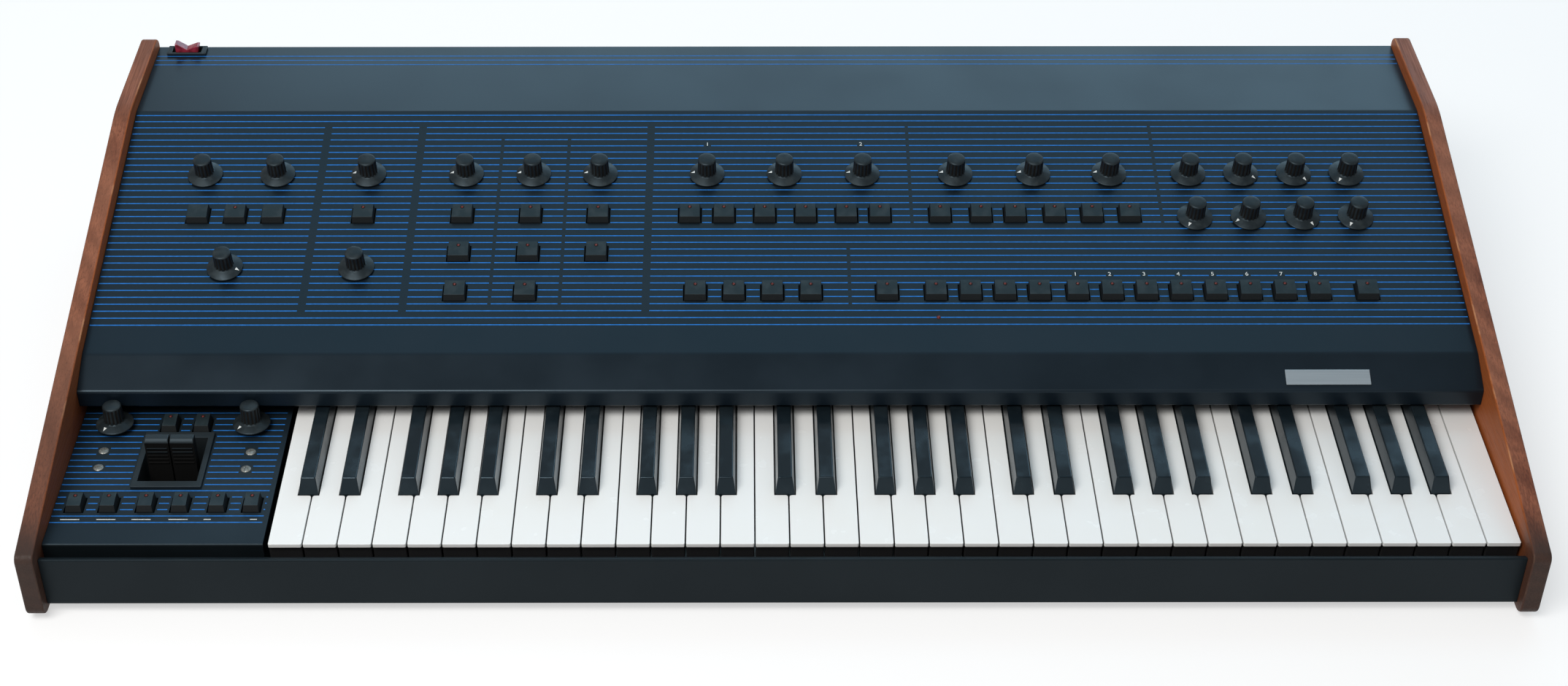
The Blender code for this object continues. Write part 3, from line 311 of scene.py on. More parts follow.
painted_key_shade.set(Base_Color=painted_key_shade.mix(painted_key_shade_grain, (0.01, 0.01, 0.011), (0.02, 0.02, 0.021)))
painted_key_shade.relief(painted_key_shade_grain, 0.02)


def cad_copy(node):
    """A copy of a CAD node's mesh in millimetres, with its flat faces whole again."""
    made = bmesh.new()
    made.from_mesh(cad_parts[node].data)
    made.transform(FROM_FRAME)
    bmesh.ops.remove_doubles(made, verts=made.verts, dist=1e-3)
    bmesh.ops.dissolve_limit(
        made, angle_limit=math.radians(0.5), verts=made.verts, edges=made.edges
    )
    return made


def rounded(shape, edges, radius, segments=2):
    bmesh.ops.bevel(
        shape, geom=list(edges), offset=radius, segments=segments, profile=0.5,
        affect="EDGES", material=-1, clamp_overlap=True,
    )
    return shape


def softened(shape, radius, segments=2, least=30, above=None):
    """Rounds every edge that turns by more than some degrees, and only those above a height when one
    is given.
    """
    turning = [edge for edge in shape.edges if edge.calc_face_angle(0) > math.radians(least)]
    if above is not None:
        turning = [edge for edge in turning if min(vert.co.z for vert in edge.verts) > above]
    return rounded(shape, turning, radius, segments)


def upright(shape, inside):
    """A shape's upright edges whose place passes a test."""
    found = []
    for edge in shape.edges:
        first, last = (vert.co for vert in edge.verts)
        if (first - last).xy.length < 0.01 and inside(first):
            found.append(edge)
    return found


def level_cut(shape, height):
    bmesh.ops.bisect_plane(
        shape, geom=shape.verts[:] + shape.edges[:] + shape.faces[:],
        plane_co=(0, 0, height), plane_no=(0, 0, 1),
    )


def white_key(shape):
    """Rounds a white key's corners and rims, and paints it near black below the lip, as painted
    shade.
    """
    rounded(shape, upright(shape, lambda place: place.y < KEY_FRONT + 2.1), 1.9, 4)
    shoulders = upright(shape, lambda place: abs(place.y - NOTCH) < 0.7)
    rounded(shape, [edge for edge in shoulders if edge.is_convex], 1.7, 3)
    softened(shape, 0.5, 2, 40)
    level_cut(shape, KEY_TOP - KEY_LIP)
    # Faces below the lip take the painted shade.
    for face in shape.faces:
        if face.calc_center_median().z < KEY_TOP - KEY_LIP:
            face.material_index = 1
    return shape


def block(low, high):
    low = Vector(low)
    high = Vector(high)
    made = bmesh.new()
    spread = Matrix.LocRotScale((low + high) / 2, None, high - low)
    bmesh.ops.create_cube(made, size=1, matrix=spread)
    return made


for place, note in enumerate("cdefgab"):
    node = f"white_key_{note}"
    for octave in range(5):
        key = white_key(cad_copy(node))
        bmesh.ops.translate(key, verts=key.verts, vec=(octave * OCTAVE, 0, 0))
        if octave:
            bank = ["white_key_bank"] if (octave, place) == (1, 0) else ()
            name = f"white_{note}_{octave + 1}"
            piece(name, key, [key_white, painted_key_shade], replaced=bank)
        else:
            piece(f"white_{note}_1", key, [key_white, painted_key_shade], node, [node])
top_key_left = KEYS_LEFT + 5 * OCTAVE + 0.5
top_key = block((top_key_left, 24.5, 27), (top_key_left + 22.4, 236, KEY_TOP))
level_cut(top_key, KEY_TOP - KEY_LIP)
upper_front = [
    face for face in top_key.faces
    if face.normal.y < -0.9 and face.calc_center_median().z > KEY_TOP - KEY_LIP
]
lip = bmesh.ops.extrude_discrete_faces(top_key, faces=upper_front)["faces"]
bmesh.ops.translate(top_key, verts=lip[0].verts, vec=(0, -2, 0))
piece("white_c_6", white_key(top_key), [key_white, painted_key_shade])

# Black keys. Solid phenolic caps that taper to a narrow top, polished by playing. Their
# noses slope down to the white keys, and they hang on the same frame.
key_black = Finish("key_black", (0.008, 0.012, 0.015), 0.2, Specular_IOR_Level=0.4)
polish = key_black.noise(40, 3).rise(0.4, 0.7)
key_black.set(Base_Color=key_black.mix(polish, (0.006, 0.01, 0.013), (0.012, 0.018, 0.022)))
key_black.set(Roughness=0.16 + polish * 0.14, Specular_Tint=BLUISH)
key_black.relief(key_black.noise(260, 2), 0.015)
for place, note in enumerate(("c_sharp", "d_sharp", "f_sharp", "g_sharp", "a_sharp")):
    node = f"black_key_{note}"
    for octave in range(5):
        key = softened(cad_copy(node), 0.9, 3, 8)
        bmesh.ops.translate(key, verts=key.verts, vec=(octave * OCTAVE, 0, 0))
        if octave:
            bank = ["black_key_bank"] if (octave, place) == (1, 0) else ()
            piece(f"black_{note}_{octave + 1}", key, [key_black], replaced=bank)
        else:
            piece(f"black_{note}_1", key, [key_black], node, [node])

# Front rail. A folded steel sheet below the fronts of the keys, in the satin paint of the case.
# Its upper edge is folded back and down, and its foot reaches a little below the pan.
rail_paint = sprayed("rail_paint", (0.007, 0.01, 0.012), 0.42, level=0.16)
RAIL_FOOT = -1.2
rail_path = [(-SHEET_END, 14, 37.2), (-SHEET_END, 9, 39.6)]
rail_path += [(-SHEET_END, 9, RAIL_FOOT), (-SHEET_END, 24.6, RAIL_FOOT)]
rail = folded_sheet(rail_path, (2, 1.6), (2 * SHEET_END, 0, 0), -SHEET)
piece("rail", rail, [rail_paint], replaced=["front_rail"])

# Rear panel with its sockets. A flat painted sheet, eight quarter-inch jacks with nickel nuts
# on a strip behind it, and a snapped-in mains inlet with three flat pins.
moulded_black = Finish("moulded_black", (0.016, 0.02, 0.022), 0.45, Specular_IOR_Level=0.35)
moulded_grain = moulded_black.noise(1300, 3)
moulded_black.set(Roughness=0.4 + moulded_grain * 0.14, Specular_Tint=BLUISH)
moulded_black.set(
    Base_Color=moulded_black.mix(moulded_grain, (0.013, 0.017, 0.019), (0.022, 0.027, 0.03))
)
moulded_black.relief(moulded_grain, 0.02)
nickel = Finish("nickel", (0.72, 0.71, 0.68), 0.24, 1.0)
nickel_dulling = nickel.noise(500, 3).rise(0.4, 0.7)
nickel.set(Base_Color=nickel.mix(nickel_dulling, (0.76, 0.75, 0.72), (0.55, 0.53, 0.49)))
nickel.set(Roughness=0.2 + nickel_dulling * 0.18)
repaint("rear_panel", base_paint)
repaint("jack_strip", moulded_black)
repaint("mains_inlet", moulded_black)
FACING_BACK = Matrix.Rotation(-math.pi / 2, 4, "X")
REAR_FACE = PAN_REAR
nut_profile = [(4.7, 0), (7.4, 0), (7.4, 1.3), (6.6, 1.8), (4.7, 1.8), (4.7, 0)]
for i in range(8):
    nut = turned(nut_profile, 6, (60 + 30 * i, REAR_FACE + 0.05, 60), FACING_BACK)
    piece(f"jack_nut_{i + 1}", nut, [nickel])


def gathered(shapes):
    """One mesh that holds several shapes."""
    whole = bmesh.new()
    for shape in shapes:
        scratch = bpy.data.meshes.new("scratch")
        shape.to_mesh(scratch)
        shape.free()
        whole.from_mesh(scratch)
        bpy.data.meshes.remove(scratch)
    return whole


def carved(shape, cutters):
    """A shape with some others cut out of it. EXACT left the cutters in now and then."""
    pair = []
    for made in (shape, gathered(cutters)):
        mesh = bpy.data.meshes.new("scratch")
        made.to_mesh(mesh)
        made.free()
        obj = bpy.data.objects.new("scratch", mesh)
        scene.collection.objects.link(obj)
        pair.append(obj)
    cut = pair[0].modifiers.new("cut", "BOOLEAN")
    cut.object = pair[1]
    cut.operation = "DIFFERENCE"
    cut.solver = "MANIFOLD"
    evaluated = pair[0].evaluated_get(bpy.context.evaluated_depsgraph_get())
    result = bmesh.new()
    result.from_mesh(evaluated.to_mesh())
    for obj in pair:
        mesh = obj.data
        bpy.data.objects.remove(obj)
        bpy.data.meshes.remove(mesh)
    return result


def slotted_screw(radius, centre, turn, slot_angle):
    """A low domed head with a slot, standing on a face at its centre."""
    dome = [(0, 0.9), (radius * 0.5, 0.8), (radius * 0.8, 0.55), (radius * 0.96, 0.25)]
    head = turned(dome + [(radius, 0), (0, 0)], 24)
    groove = block((-radius * 1.2, -radius * 0.13, 0.35), (radius * 1.2, radius * 0.13, 2))
    groove.transform(Matrix.Rotation(math.radians(slot_angle), 4, "Z"))
    head = carved(head, [groove])
    head.transform(Matrix.Translation(centre) @ turn)
    return head


rear_screws = [(x, z) for x in (-470, -300, -130, 40, 300, 470) for z in (14, 121)]
for i, (x, z) in enumerate(rear_screws):
    head = slotted_screw(2.9, (x, REAR_FACE + 0.02, z), FACING_BACK, 37 * i)
    piece(f"rear_screw_{i + 1}", head, [nickel])
pins = []
for x, z in ((-446, 47.5), (-434, 47.5), (-440, 52.5)):
    pins.append(softened(block((x - 1, 500, z - 2.5), (x + 1, 514, z + 2.5)), 0.4))
piece("mains_pins", gathered(pins), [nickel])

# Lever plate. A painted sheet left of the keys, printed with the panel's blue stripes. Four
# slotted screws hold the lever box below it. Its front flange is painted in the darker rail
# paint, as painted shade.
lever_paint = sprayed("lever_paint", (0.008, 0.014, 0.02), 0.36, level=0.35)
PLATE_RIGHT = -349
KNOB_HOLE = 3.6
WELL = (-424.5, 109)
REAR_LEVER_BUTTONS = [(x, 148) for x in (-433.5, -410.5)]
FRONT_LEVER_BUTTONS = [(x, 62.5) for x in (-483, -460, -434.5, -411, -385.5, -362)]
LEVER_KNOBS = [(-472, 145.5, -150), (-375, 145.5, -135)]


def opening(x, y, width, depth):
    return block((x - width / 2, y - depth / 2, -8), (x + width / 2, y + depth / 2, 8))


def shaft_hole(x, y):
    return turned([(0, -8), (KNOB_HOLE, -8), (KNOB_HOLE, 8), (0, 8)], 20, (x, y, 0))


plate_path = [(-SHEET_END, 185, KEY_TOP), (-SHEET_END, 22.5, KEY_TOP), (-SHEET_END, 22.5, 26)]
plate = folded_sheet(plate_path, (1.6,), (PLATE_RIGHT + SHEET_END, 0, 0), -SHEET)
plate_holes = [opening(*place, 13.8, 15.8) for place in REAR_LEVER_BUTTONS + FRONT_LEVER_BUTTONS]
plate_holes += [shaft_hole(x, y) for x, y, angle in LEVER_KNOBS]
plate_holes.append(opening(*WELL, 44.6, 50.6))
for hole in plate_holes:
    bmesh.ops.translate(hole, verts=hole.verts, vec=(0, 0, KEY_TOP))
plate = carved(plate, plate_holes)
# The front flange takes the near-black rail paint, as painted shade.
for face in plate.faces:
    if face.normal.y < -0.7 and face.calc_center_median().y < 25:
        face.material_index = 1
finishes = [lever_paint, rail_paint]
piece("left_plate", plate, finishes, replaced=["lever_plate"])
LEVEL = Matrix.Identity(4)
PLATE_SCREWS = [(-475.5, 120.5, 15), (-475.5, 102.3, 30), (-372, 119, 20), (-372.5, 100.6, 80)]
zinc = Finish("zinc", (0.3, 0.3, 0.28), 0.5, 0.8)
zinc_dulling = zinc.noise(700, 3).rise(0.35, 0.7)
zinc.set(Base_Color=zinc.mix(zinc_dulling, (0.36, 0.36, 0.34), (0.2, 0.2, 0.18)))
zinc.set(Roughness=0.42 + zinc_dulling * 0.2)
for i, (x, y, angle) in enumerate(PLATE_SCREWS):
    head = slotted_screw(3.6, (x, y, KEY_TOP + 0.05), LEVEL, angle)
    piece(f"plate_screw_{i + 1}", head, [zinc])

# Printed stripes. Thin lines of blue ink, silk-screened straight on the paint and broken
# where a control passes through or where two groups of controls meet.
blue_ink = Finish("blue_ink", (0.02, 0.17, 0.56), 0.55, Specular_IOR_Level=0.1)
ink_density = blue_ink.noise(400, 3).rise(0.3, 0.75)
blue_ink.set(Base_Color=blue_ink.mix(ink_density, (0.018, 0.15, 0.46), (0.028, 0.2, 0.64)))
blue_ink.relief(blue_ink.noise(2200, 1), 0.01)
INK = 0.04
STRIPE = 0.9
LEVER_STRIPES = [162.4 - 6.53 * i for i in range(19)]


def free_spans(start, end, blocked):
    """What is left of a line from start to end between some blocked (low, high) stretches."""
    spans = []
    for low, high in sorted(blocked):
        if high > start and low < end:
            if low > start:
                spans.append((start, low))
            start = max(start, high)
    if start < end:
        spans.append((start, end))
    return spans


def stripe(start, end, y, width=STRIPE):
    return block((start, y - width / 2, 0), (end, y + width / 2, INK))


plate_stripes = []
for y in LEVER_STRIPES:
    blocked = []
    for x, across in REAR_LEVER_BUTTONS + FRONT_LEVER_BUTTONS:
        if abs(y - across) < 8.8:
            blocked.append((x - 8.3, x + 8.3))
    if abs(y - WELL[1]) < 30.8:
        blocked.append((WELL[0] - 26, WELL[0] + 26))
    for x, across, angle in LEVER_KNOBS:
        if abs(y - across) < KNOB_HOLE + 0.8:
            blocked.append((x - 4.5, x + 4.5))
    for x, across, angle in PLATE_SCREWS:
        if abs(y - across) < 4.4:
            blocked.append((x - 4.6, x + 4.6))
    for start, end in free_spans(-497, -352.5, blocked):
        plate_stripes.append(stripe(start, end, y))
printed = gathered(plate_stripes)
bmesh.ops.translate(printed, verts=printed.verts, vec=(0, 0, KEY_TOP))
piece("plate_stripes", printed, [blue_ink])

# Lever box and levers. A moulded black well with a raised frame, and two paddles with ribbed
# fronts, side by side on one steel axle. Springs bring both back to the middle. Each paddle is
# painted near black low down, as painted shade, and lighter at its top, as a painted highlight.
lever_box = softened(cad_copy("lever_box"), 0.5, 2, 60, KEY_TOP + 0.2)
piece("lever_well", lever_box, [moulded_black], replaced=["lever_box"])
lever_black = Finish("lever_black", (0.006, 0.008, 0.009), 0.5, Specular_IOR_Level=0.2)
lever_wear = lever_black.noise(90, 3).rise(0.45, 0.75)
lever_black.set(Base_Color=lever_black.mix(lever_wear, (0.004, 0.005, 0.006), (0.009, 0.01, 0.01)))
lever_black.set(Roughness=0.44 + lever_wear * 0.2, Specular_Tint=BLUISH)
lever_black.relief(lever_black.noise(1400, 2), 0.02)
# Near-black painted shade for the paddles' lower parts.
painted_lever_shade = Finish("painted_lever_shade", (0.004, 0.004, 0.004), 0.8, Specular_IOR_Level=0.1)
lever_shade_grain = painted_lever_shade.noise(1000, 2)
painted_lever_shade.set(Base_Color=painted_lever_shade.mix(lever_shade_grain, (0.003, 0.003, 0.003), (0.006, 0.006, 0.006)))
for node, name in (("modulation_lever", "left_paddle"), ("pitch_lever", "right_paddle")):
    paddle = softened(cad_copy(node), 0.8, 3, 40, KEY_TOP - 4)
    middle = sum((vert.co.x for vert in paddle.verts), 0) / len(paddle.verts)
    ribs = []
    for i in range(5):
        z = 55.5 - 3.1 * i
        front = WELL[1] - 3.5 - 0.0204 * (61 - z)
        rib = block((middle - 7.2, front - 0.55, z - 0.75), (middle + 7.2, front + 0.6, z + 0.75))
        ribs.append(softened(rib, 0.35))
    paddle = gathered([paddle] + ribs)
    # Low faces take the painted shade, and the top faces take the lighter moulded black as a painted
    # highlight.
    for face in paddle.faces:
        height = face.calc_center_median().z
        if height < KEY_TOP + 9:
            face.material_index = 1
        elif height > KEY_TOP + 16.5:
            face.material_index = 2
    finishes = [lever_black, painted_lever_shade, moulded_black]
    piece(name, paddle, finishes, node, [node])


# Knobs. Moulded in one piece from matt black plastic: a grey-worn conical skirt with a white
# pointer, and a fluted cap with a lightly domed top, its grooves painted near black as painted
# shade. Each is pushed on a steel shaft.
knob_plastic = Finish("knob_plastic", (0.016, 0.02, 0.022), 0.45, Specular_IOR_Level=0.35)
knob_wear = knob_plastic.noise(160, 3).rise(0.4, 0.75)
knob_grain = knob_plastic.noise(1700, 2)
knob_plastic.set(
    Base_Color=knob_plastic.mix(knob_wear, (0.012, 0.016, 0.018), (0.024, 0.03, 0.032))
)
knob_plastic.set(Roughness=0.36 + knob_wear * 0.16, Specular_Tint=BLUISH)
knob_plastic.relief(knob_grain, 0.025)
# Near-black painted shade for the bottoms of the knobs' flutes.
painted_flute_shade = Finish("painted_flute_shade", (0.006, 0.006, 0.006), 0.75, Specular_IOR_Level=0.15)
flute_shade_grain = painted_flute_shade.noise(900, 3)
painted_flute_shade.set(Base_Color=painted_flute_shade.mix(flute_shade_grain, (0.006, 0.006, 0.006), (0.016, 0.014, 0.012)))
white_ink = Finish("white_ink", (0.75, 0.78, 0.76), 0.5)
white_wear = white_ink.noise(700, 3).rise(0.45, 0.7)
white_ink.set(Base_Color=white_ink.mix(white_wear, (0.76, 0.79, 0.78), (0.46, 0.49, 0.48)))
white_ink.relief(white_ink.noise(2500, 1), 0.01)
FLUTES = 15
KNOB_STEPS = 4 * FLUTES
FLUTE_DEPTHS = (0, -0.2, -0.6, -0.2)
KNOB_FINISHES = [knob_plastic, white_ink, painted_flute_shade]


def dyed(shape, slot):
    """Puts all of a shape in one of its piece's finishes."""
    for face in shape.faces:
        face.material_index = slot
    return shape


def knob(centre, tilt, angle, lift=0.6):
    """A knob over a place on a face, its pointer turned clockwise from the rear."""
    profile = [(0, -7.6), (3, -7.6), (3, lift + 0.2), (12.7, lift), (13.2, lift + 0.3)]
    profile += [(13.2, lift + 0.9), (12.9, lift + 1.3), (8.6, lift + 3.1), (7.8, lift + 3.3)]
    profile += [(7.25, lift + 3.6), (7.1, lift + 4.2), (6.75, lift + 15.4), (6.65, lift + 16)]
    profile += [(6.3, lift + 16.6), (5.6, lift + 17), (3.5, lift + 17.3), (0, lift + 17.4)]
    made = turned(profile, KNOB_STEPS)
    grooves = set()
    for vert in made.verts:
        radius = vert.co.xy.length
        if lift + 4 < vert.co.z < lift + 15.6:
            step = round(math.atan2(vert.co.y, vert.co.x) / (2 * math.pi) * KNOB_STEPS) % 4
            vert.co.xy *= 1 + FLUTE_DEPTHS[step] / radius
            if step == 2:
                grooves.add(vert)
    # Faces along each flute's bottom take the painted shade.
    for face in made.faces:
        if len(grooves.intersection(face.verts)) == 2:
            face.material_index = 2
    pointer = bmesh.new()
    corners = []
    for across, radius in ((-1.15, 9.3), (1.15, 9.3), (0, 12.2)):
        height = lift + 3.1 - (radius - 8.6) * 0.4186 + 0.06
        corners.append(pointer.verts.new((across, radius, height)))
    grown = bmesh.ops.extrude_face_region(pointer, geom=[pointer.faces.new(corners)])["geom"]
    below = [item for item in grown if isinstance(item, bmesh.types.BMVert)]
    bmesh.ops.translate(pointer, verts=below, vec=(0, 0, -0.4))
    bmesh.ops.recalc_face_normals(pointer, faces=pointer.faces)
    dyed(pointer, 1)
    whole = gathered([made, pointer])
    turn = Matrix.Rotation(-math.radians(angle), 4, "Z")
    whole.transform(Matrix.Translation(centre) @ tilt @ turn)
    return whole


for i, (x, y, angle) in enumerate(LEVER_KNOBS):
    made = knob((x, y, KEY_TOP), LEVEL, angle, 4.2)
    piece(f"lever_knob_{i + 1}", made, KNOB_FINISHES)
FLAT_HEIGHT = 133
SLOPE_TOP = (420.5, FLAT_HEIGHT)
SLOPE_FOOT = (181, 80)
SLOPE = math.atan2(SLOPE_TOP[1] - SLOPE_FOOT[1], SLOPE_TOP[0] - SLOPE_FOOT[0])
TILT = Matrix.Rotation(SLOPE, 4, "X")
PANEL_FOOT = Vector((0, *SLOPE_FOOT))
UPPER_ROW = 176.5
TUNE_ROW = 82


def on_panel(x, along, lift=0):
    """The place of a point on the sloping panel, given by its distance from the foot."""
    return PANEL_FOOT + TILT @ Vector((x, along, lift))


FIXED_KNOBS = {
    "balance": (-379, UPPER_ROW, 0), "glide": (-310, UPPER_ROW, -90),
    "rate": (-236, UPPER_ROW, -90), "depth_1": (-185, UPPER_ROW, -90),
    "depth_2": (-134.5, UPPER_ROW, -90), "oscillator_1": (-53.5, UPPER_ROW, -90),
    "width": (5, UPPER_ROW, -90), "oscillator_2": (64, UPPER_ROW, -90),
    "cutoff": (134.5, UPPER_ROW, -90), "emphasis": (193.5, UPPER_ROW, -90),
    "amount": (251, UPPER_ROW, -90), "detune": (-310, TUNE_ROW, 0),
}
MOVING_KNOBS = {"volume_knob": (-434, UPPER_ROW, 0), "master_tune_knob": (-406.5, TUNE_ROW, 110)}
for i, (stage, first, second) in enumerate((
    ("attack", 0, -150), ("decay", 123, -120), ("sustain", 136, 144), ("release", -143, -150),
)):
    MOVING_KNOBS[f"filter_{stage}_knob"] = (311 + 40 * i, UPPER_ROW, first)
    MOVING_KNOBS[f"loudness_{stage}_knob"] = (311 + 40 * i, 131.5, second)
for name, (x, along, angle) in FIXED_KNOBS.items():
    made = knob(on_panel(x, along), TILT, angle)
    piece(f"{name}_knob", made, KNOB_FINISHES)
for node, (x, along, angle) in MOVING_KNOBS.items():
    made = knob(on_panel(x, along), TILT, angle)
    piece(f"{node}_cap", made, KNOB_FINISHES, node, [node])

# Push buttons. Wedge-shaped caps of matt black plastic on small switches, most with a tiny
# red lamp in a ledge at the rear. They pass through close-fitting openings in the sheet. Their
# sides and noses are painted darker than their tops, as painted shade.
button_plastic = Finish("button_plastic", (0.02, 0.03, 0.034), 0.42, Specular_IOR_Level=0.3)
button_wear = button_plastic.noise(120, 3).rise(0.42, 0.72)
button_plastic.set(
    Base_Color=button_plastic.mix(button_wear, (0.016, 0.025, 0.029), (0.026, 0.037, 0.042))
)
button_plastic.set(Roughness=0.38 + button_wear * 0.14, Specular_Tint=BLUISH)
button_plastic.relief(button_plastic.noise(1500, 2), 0.02)
# Darker painted shade for the buttons' sides and noses.
painted_button_shade = Finish("painted_button_shade", (0.007, 0.009, 0.01), 0.6, Specular_IOR_Level=0.2)
button_shade_grain = painted_button_shade.noise(1100, 2)
painted_button_shade.set(Base_Color=painted_button_shade.mix(button_shade_grain, (0.005, 0.007, 0.008), (0.011, 0.013, 0.014)))
painted_button_shade.relief(button_shade_grain, 0.02)
lamp_red = Finish("lamp_red", (0.12, 0.012, 0.01), 0.25, Specular_IOR_Level=0.4)
lamp_glow = lamp_red.noise(900, 1)
lamp_red.set(Base_Color=lamp_red.mix(lamp_glow, (0.08, 0.007, 0.006), (0.18, 0.022, 0.016)))
BUTTON_FINISHES = [button_plastic, lamp_red, painted_button_shade]
BUTTON_ROW = 134.5
LOW_ROW = 57.5


def along_x(outline, start, end):
    """A (y, z) outline extruded along X."""
    made = bmesh.new()
    face = made.faces.new([made.verts.new((start, y, z)) for y, z in outline])
    grown = bmesh.ops.extrude_face_region(made, geom=[face])["geom"]
    moved = [item for item in grown if isinstance(item, bmesh.types.BMVert)]
    bmesh.ops.translate(made, verts=moved, vec=(end - start, 0, 0))
    bmesh.ops.recalc_face_normals(made, faces=made.faces)
    return made


def button(centre, tilt, width, taper=2.6, lamp=True):
    """A button cap and its lamp over a place on a face."""
    outline = [(-7.5, -6), (-7.5, 0.4), (-5.4, 4.7), (3, 5.5), (7.5, 5.5), (7.5, -6)]
    cap = along_x(outline, -width / 2, width / 2)
    for vert in cap.verts:
        vert.co.x *= 1 - (vert.co.z + 6) / 11.5 * taper / width
    softened(cap, 0.28, 2, 18)
    # Faces that are not tops take the painted shade.
    for face in cap.faces:
        if face.normal.z < 0.7:
            face.material_index = 2
    shapes = [cap]
    if lamp:
        # The collar round the lamp takes the same darker finish.
        collar = [(0, 5.3), (1.6, 5.3), (1.6, 5.6), (1.3, 5.7), (1.1, 5.55), (0, 5.55)]
        shapes.append(dyed(turned(collar, 16, (0, 3.9, 0)), 2))
        dome = bmesh.new()
        bmesh.ops.create_uvsphere(dome, u_segments=14, v_segments=8, radius=1)
        dome.transform(Matrix.Translation((0, 3.9, 5.5)) @ Matrix.Diagonal((1, 1, 0.6, 1)))
        shapes.append(dyed(dome, 1))
    whole = gathered(shapes)
    whole.transform(Matrix.Translation(centre) @ tilt)
    return whole


for i, (x, y) in enumerate(REAR_LEVER_BUTTONS + FRONT_LEVER_BUTTONS):
    made = button((x, y, KEY_TOP), LEVEL, 13.4, 3.9)
    piece(f"lever_button_{i + 1}", made, BUTTON_FINISHES)
FIXED_BUTTONS = [(x, BUTTON_ROW) for x in (-433.5, -405.5, -377.5, -310, -236, -185, -134.5)]
FIXED_BUTTONS += [(x, BUTTON_ROW) for x in (-66, -40.5, -10, 20.5, 51, 76)]
FIXED_BUTTONS += [(x, BUTTON_ROW) for x in (121, 151.5, 177, 206.5, 234.5, 262.5)]
FIXED_BUTTONS += [(x, 96) for x in (-236, -185, -134.5)]
FIXED_BUTTONS += [(x, LOW_ROW) for x in (-236, -185, -61, -33, -5, 23, 78.5, 427.5)]
FIXED_BUTTONS += [(114 + 25.1 * i, LOW_ROW) for i in range(4)]
PROGRAM_BUTTONS = [(217 + 25.1 * i, LOW_ROW) for i in range(8)]
for i, place in enumerate(FIXED_BUTTONS):
    made = button(on_panel(*place), TILT, 17.4, lamp=i not in (0, 2))
    piece(f"panel_button_{i + 1}", made, BUTTON_FINISHES)
for i, place in enumerate(PROGRAM_BUTTONS):
    node = f"program_button_{i + 1}"
    made = button(on_panel(*place), TILT, 17.4)
    piece(f"{node}_cap", made, BUTTON_FINISHES, node, [node])

# Boards under the panel and the lever plate. Each carries its controls' pots and switches
# and hangs on spacers. They show only through the clearance round a button.
def control_board(low, high, pots, switches, spacers):
    """A board 12 mm under a face, with the bodies of its pots and switches."""
    slab = softened(block((*low, -12), (*high, -10.4)), 0.3)
    parts = [slab]
    for x, y in pots:
        body = [(0, -10.5), (7.6, -10.5), (7.8, -10.2), (7.8, -8.4), (4.2, -8.1), (0, -8.1)]
        parts.append(dyed(turned(body, 24, (x, y, 0)), 1))
    for x, y in switches:
        body = block((x - 6, y - 6, -10.5), (x + 6, y + 6, -7.9))
        parts.append(dyed(softened(body, 0.4), 1))
    for x, y, bottom, top in spacers:
        column = [(0, bottom), (2.8, bottom), (2.8, top), (0, top)]
        parts.append(dyed(turned(column, 6, (x, y, 0)), 2))
    return gathered(parts)


knob_places = [place[:2] for place in (*FIXED_KNOBS.values(), *MOVING_KNOBS.values())]
board_low = (-464, 32.5)
board_high = (461, 201.5)
spacers = []
for x in (-458, -346.5, -98, 100, 287, 455):
    spacers += [(x, board_low[1] + 6, -10.5, -1.9), (x, board_high[1] - 6, -10.5, -1.9)]
upper_board = control_board(
    board_low, board_high, knob_places, FIXED_BUTTONS + PROGRAM_BUTTONS, spacers
)
upper_board.transform(Matrix.Translation(PANEL_FOOT) @ TILT)
board_finishes = [green_board, moulded_black, steel]
piece("control_board", upper_board, board_finishes, replaced=["panel_board"])
corners = [(x, y, -38, -10.5) for x in (-488.5, -358) for y in (48.5, 169)]
lever_switches = REAR_LEVER_BUTTONS + FRONT_LEVER_BUTTONS
lower_board = control_board(
    (-494.5, 42.5), (-352, 175), [place[:2] for place in LEVER_KNOBS], lever_switches, corners
)
window = opening(*WELL, 46, 52)
bmesh.ops.translate(window, verts=window.verts, vec=(0, 0, -12))
lower_board = carved(lower_board, [window])
bmesh.ops.translate(lower_board, verts=lower_board.verts, vec=(0, 0, KEY_TOP))
piece("side_board", lower_board, board_finishes, replaced=["lever_board"])

# Top panel. One steel sheet folded five times, from the flange at the rear over the sloping
# face to the lip above the keys, in satin blue-grey paint. Its openings are punched.
panel_paint = sprayed("panel_paint", (0.004, 0.008, 0.013), 0.34, level=0.4)
panel_path = [(519.5, 125), (519.5, FLAT_HEIGHT), SLOPE_TOP, SLOPE_FOOT]
panel_path += [(153.3, 67.5), (153.3, 54), (161.3, 54)]
panel_points = [(-SHEET_END, y, z) for y, z in panel_path]
panel = folded_sheet(panel_points, (1.6, 1.0, 1.6, 1.8, 1.6), (2 * SHEET_END, 0, 0), -SHEET)
holes = [opening(*place, 17.8, 15.8) for place in FIXED_BUTTONS + PROGRAM_BUTTONS]
holes += [shaft_hole(*place) for place in knob_places]
for hole in holes:
    hole.transform(Matrix.Translation(PANEL_FOOT) @ TILT)
holes.append(block((-486.3, 505.2, 125), (-460.7, 515.8, 140)))
panel = carved(panel, holes)
piece("upper_case", panel, [panel_paint], replaced=["top_panel"])

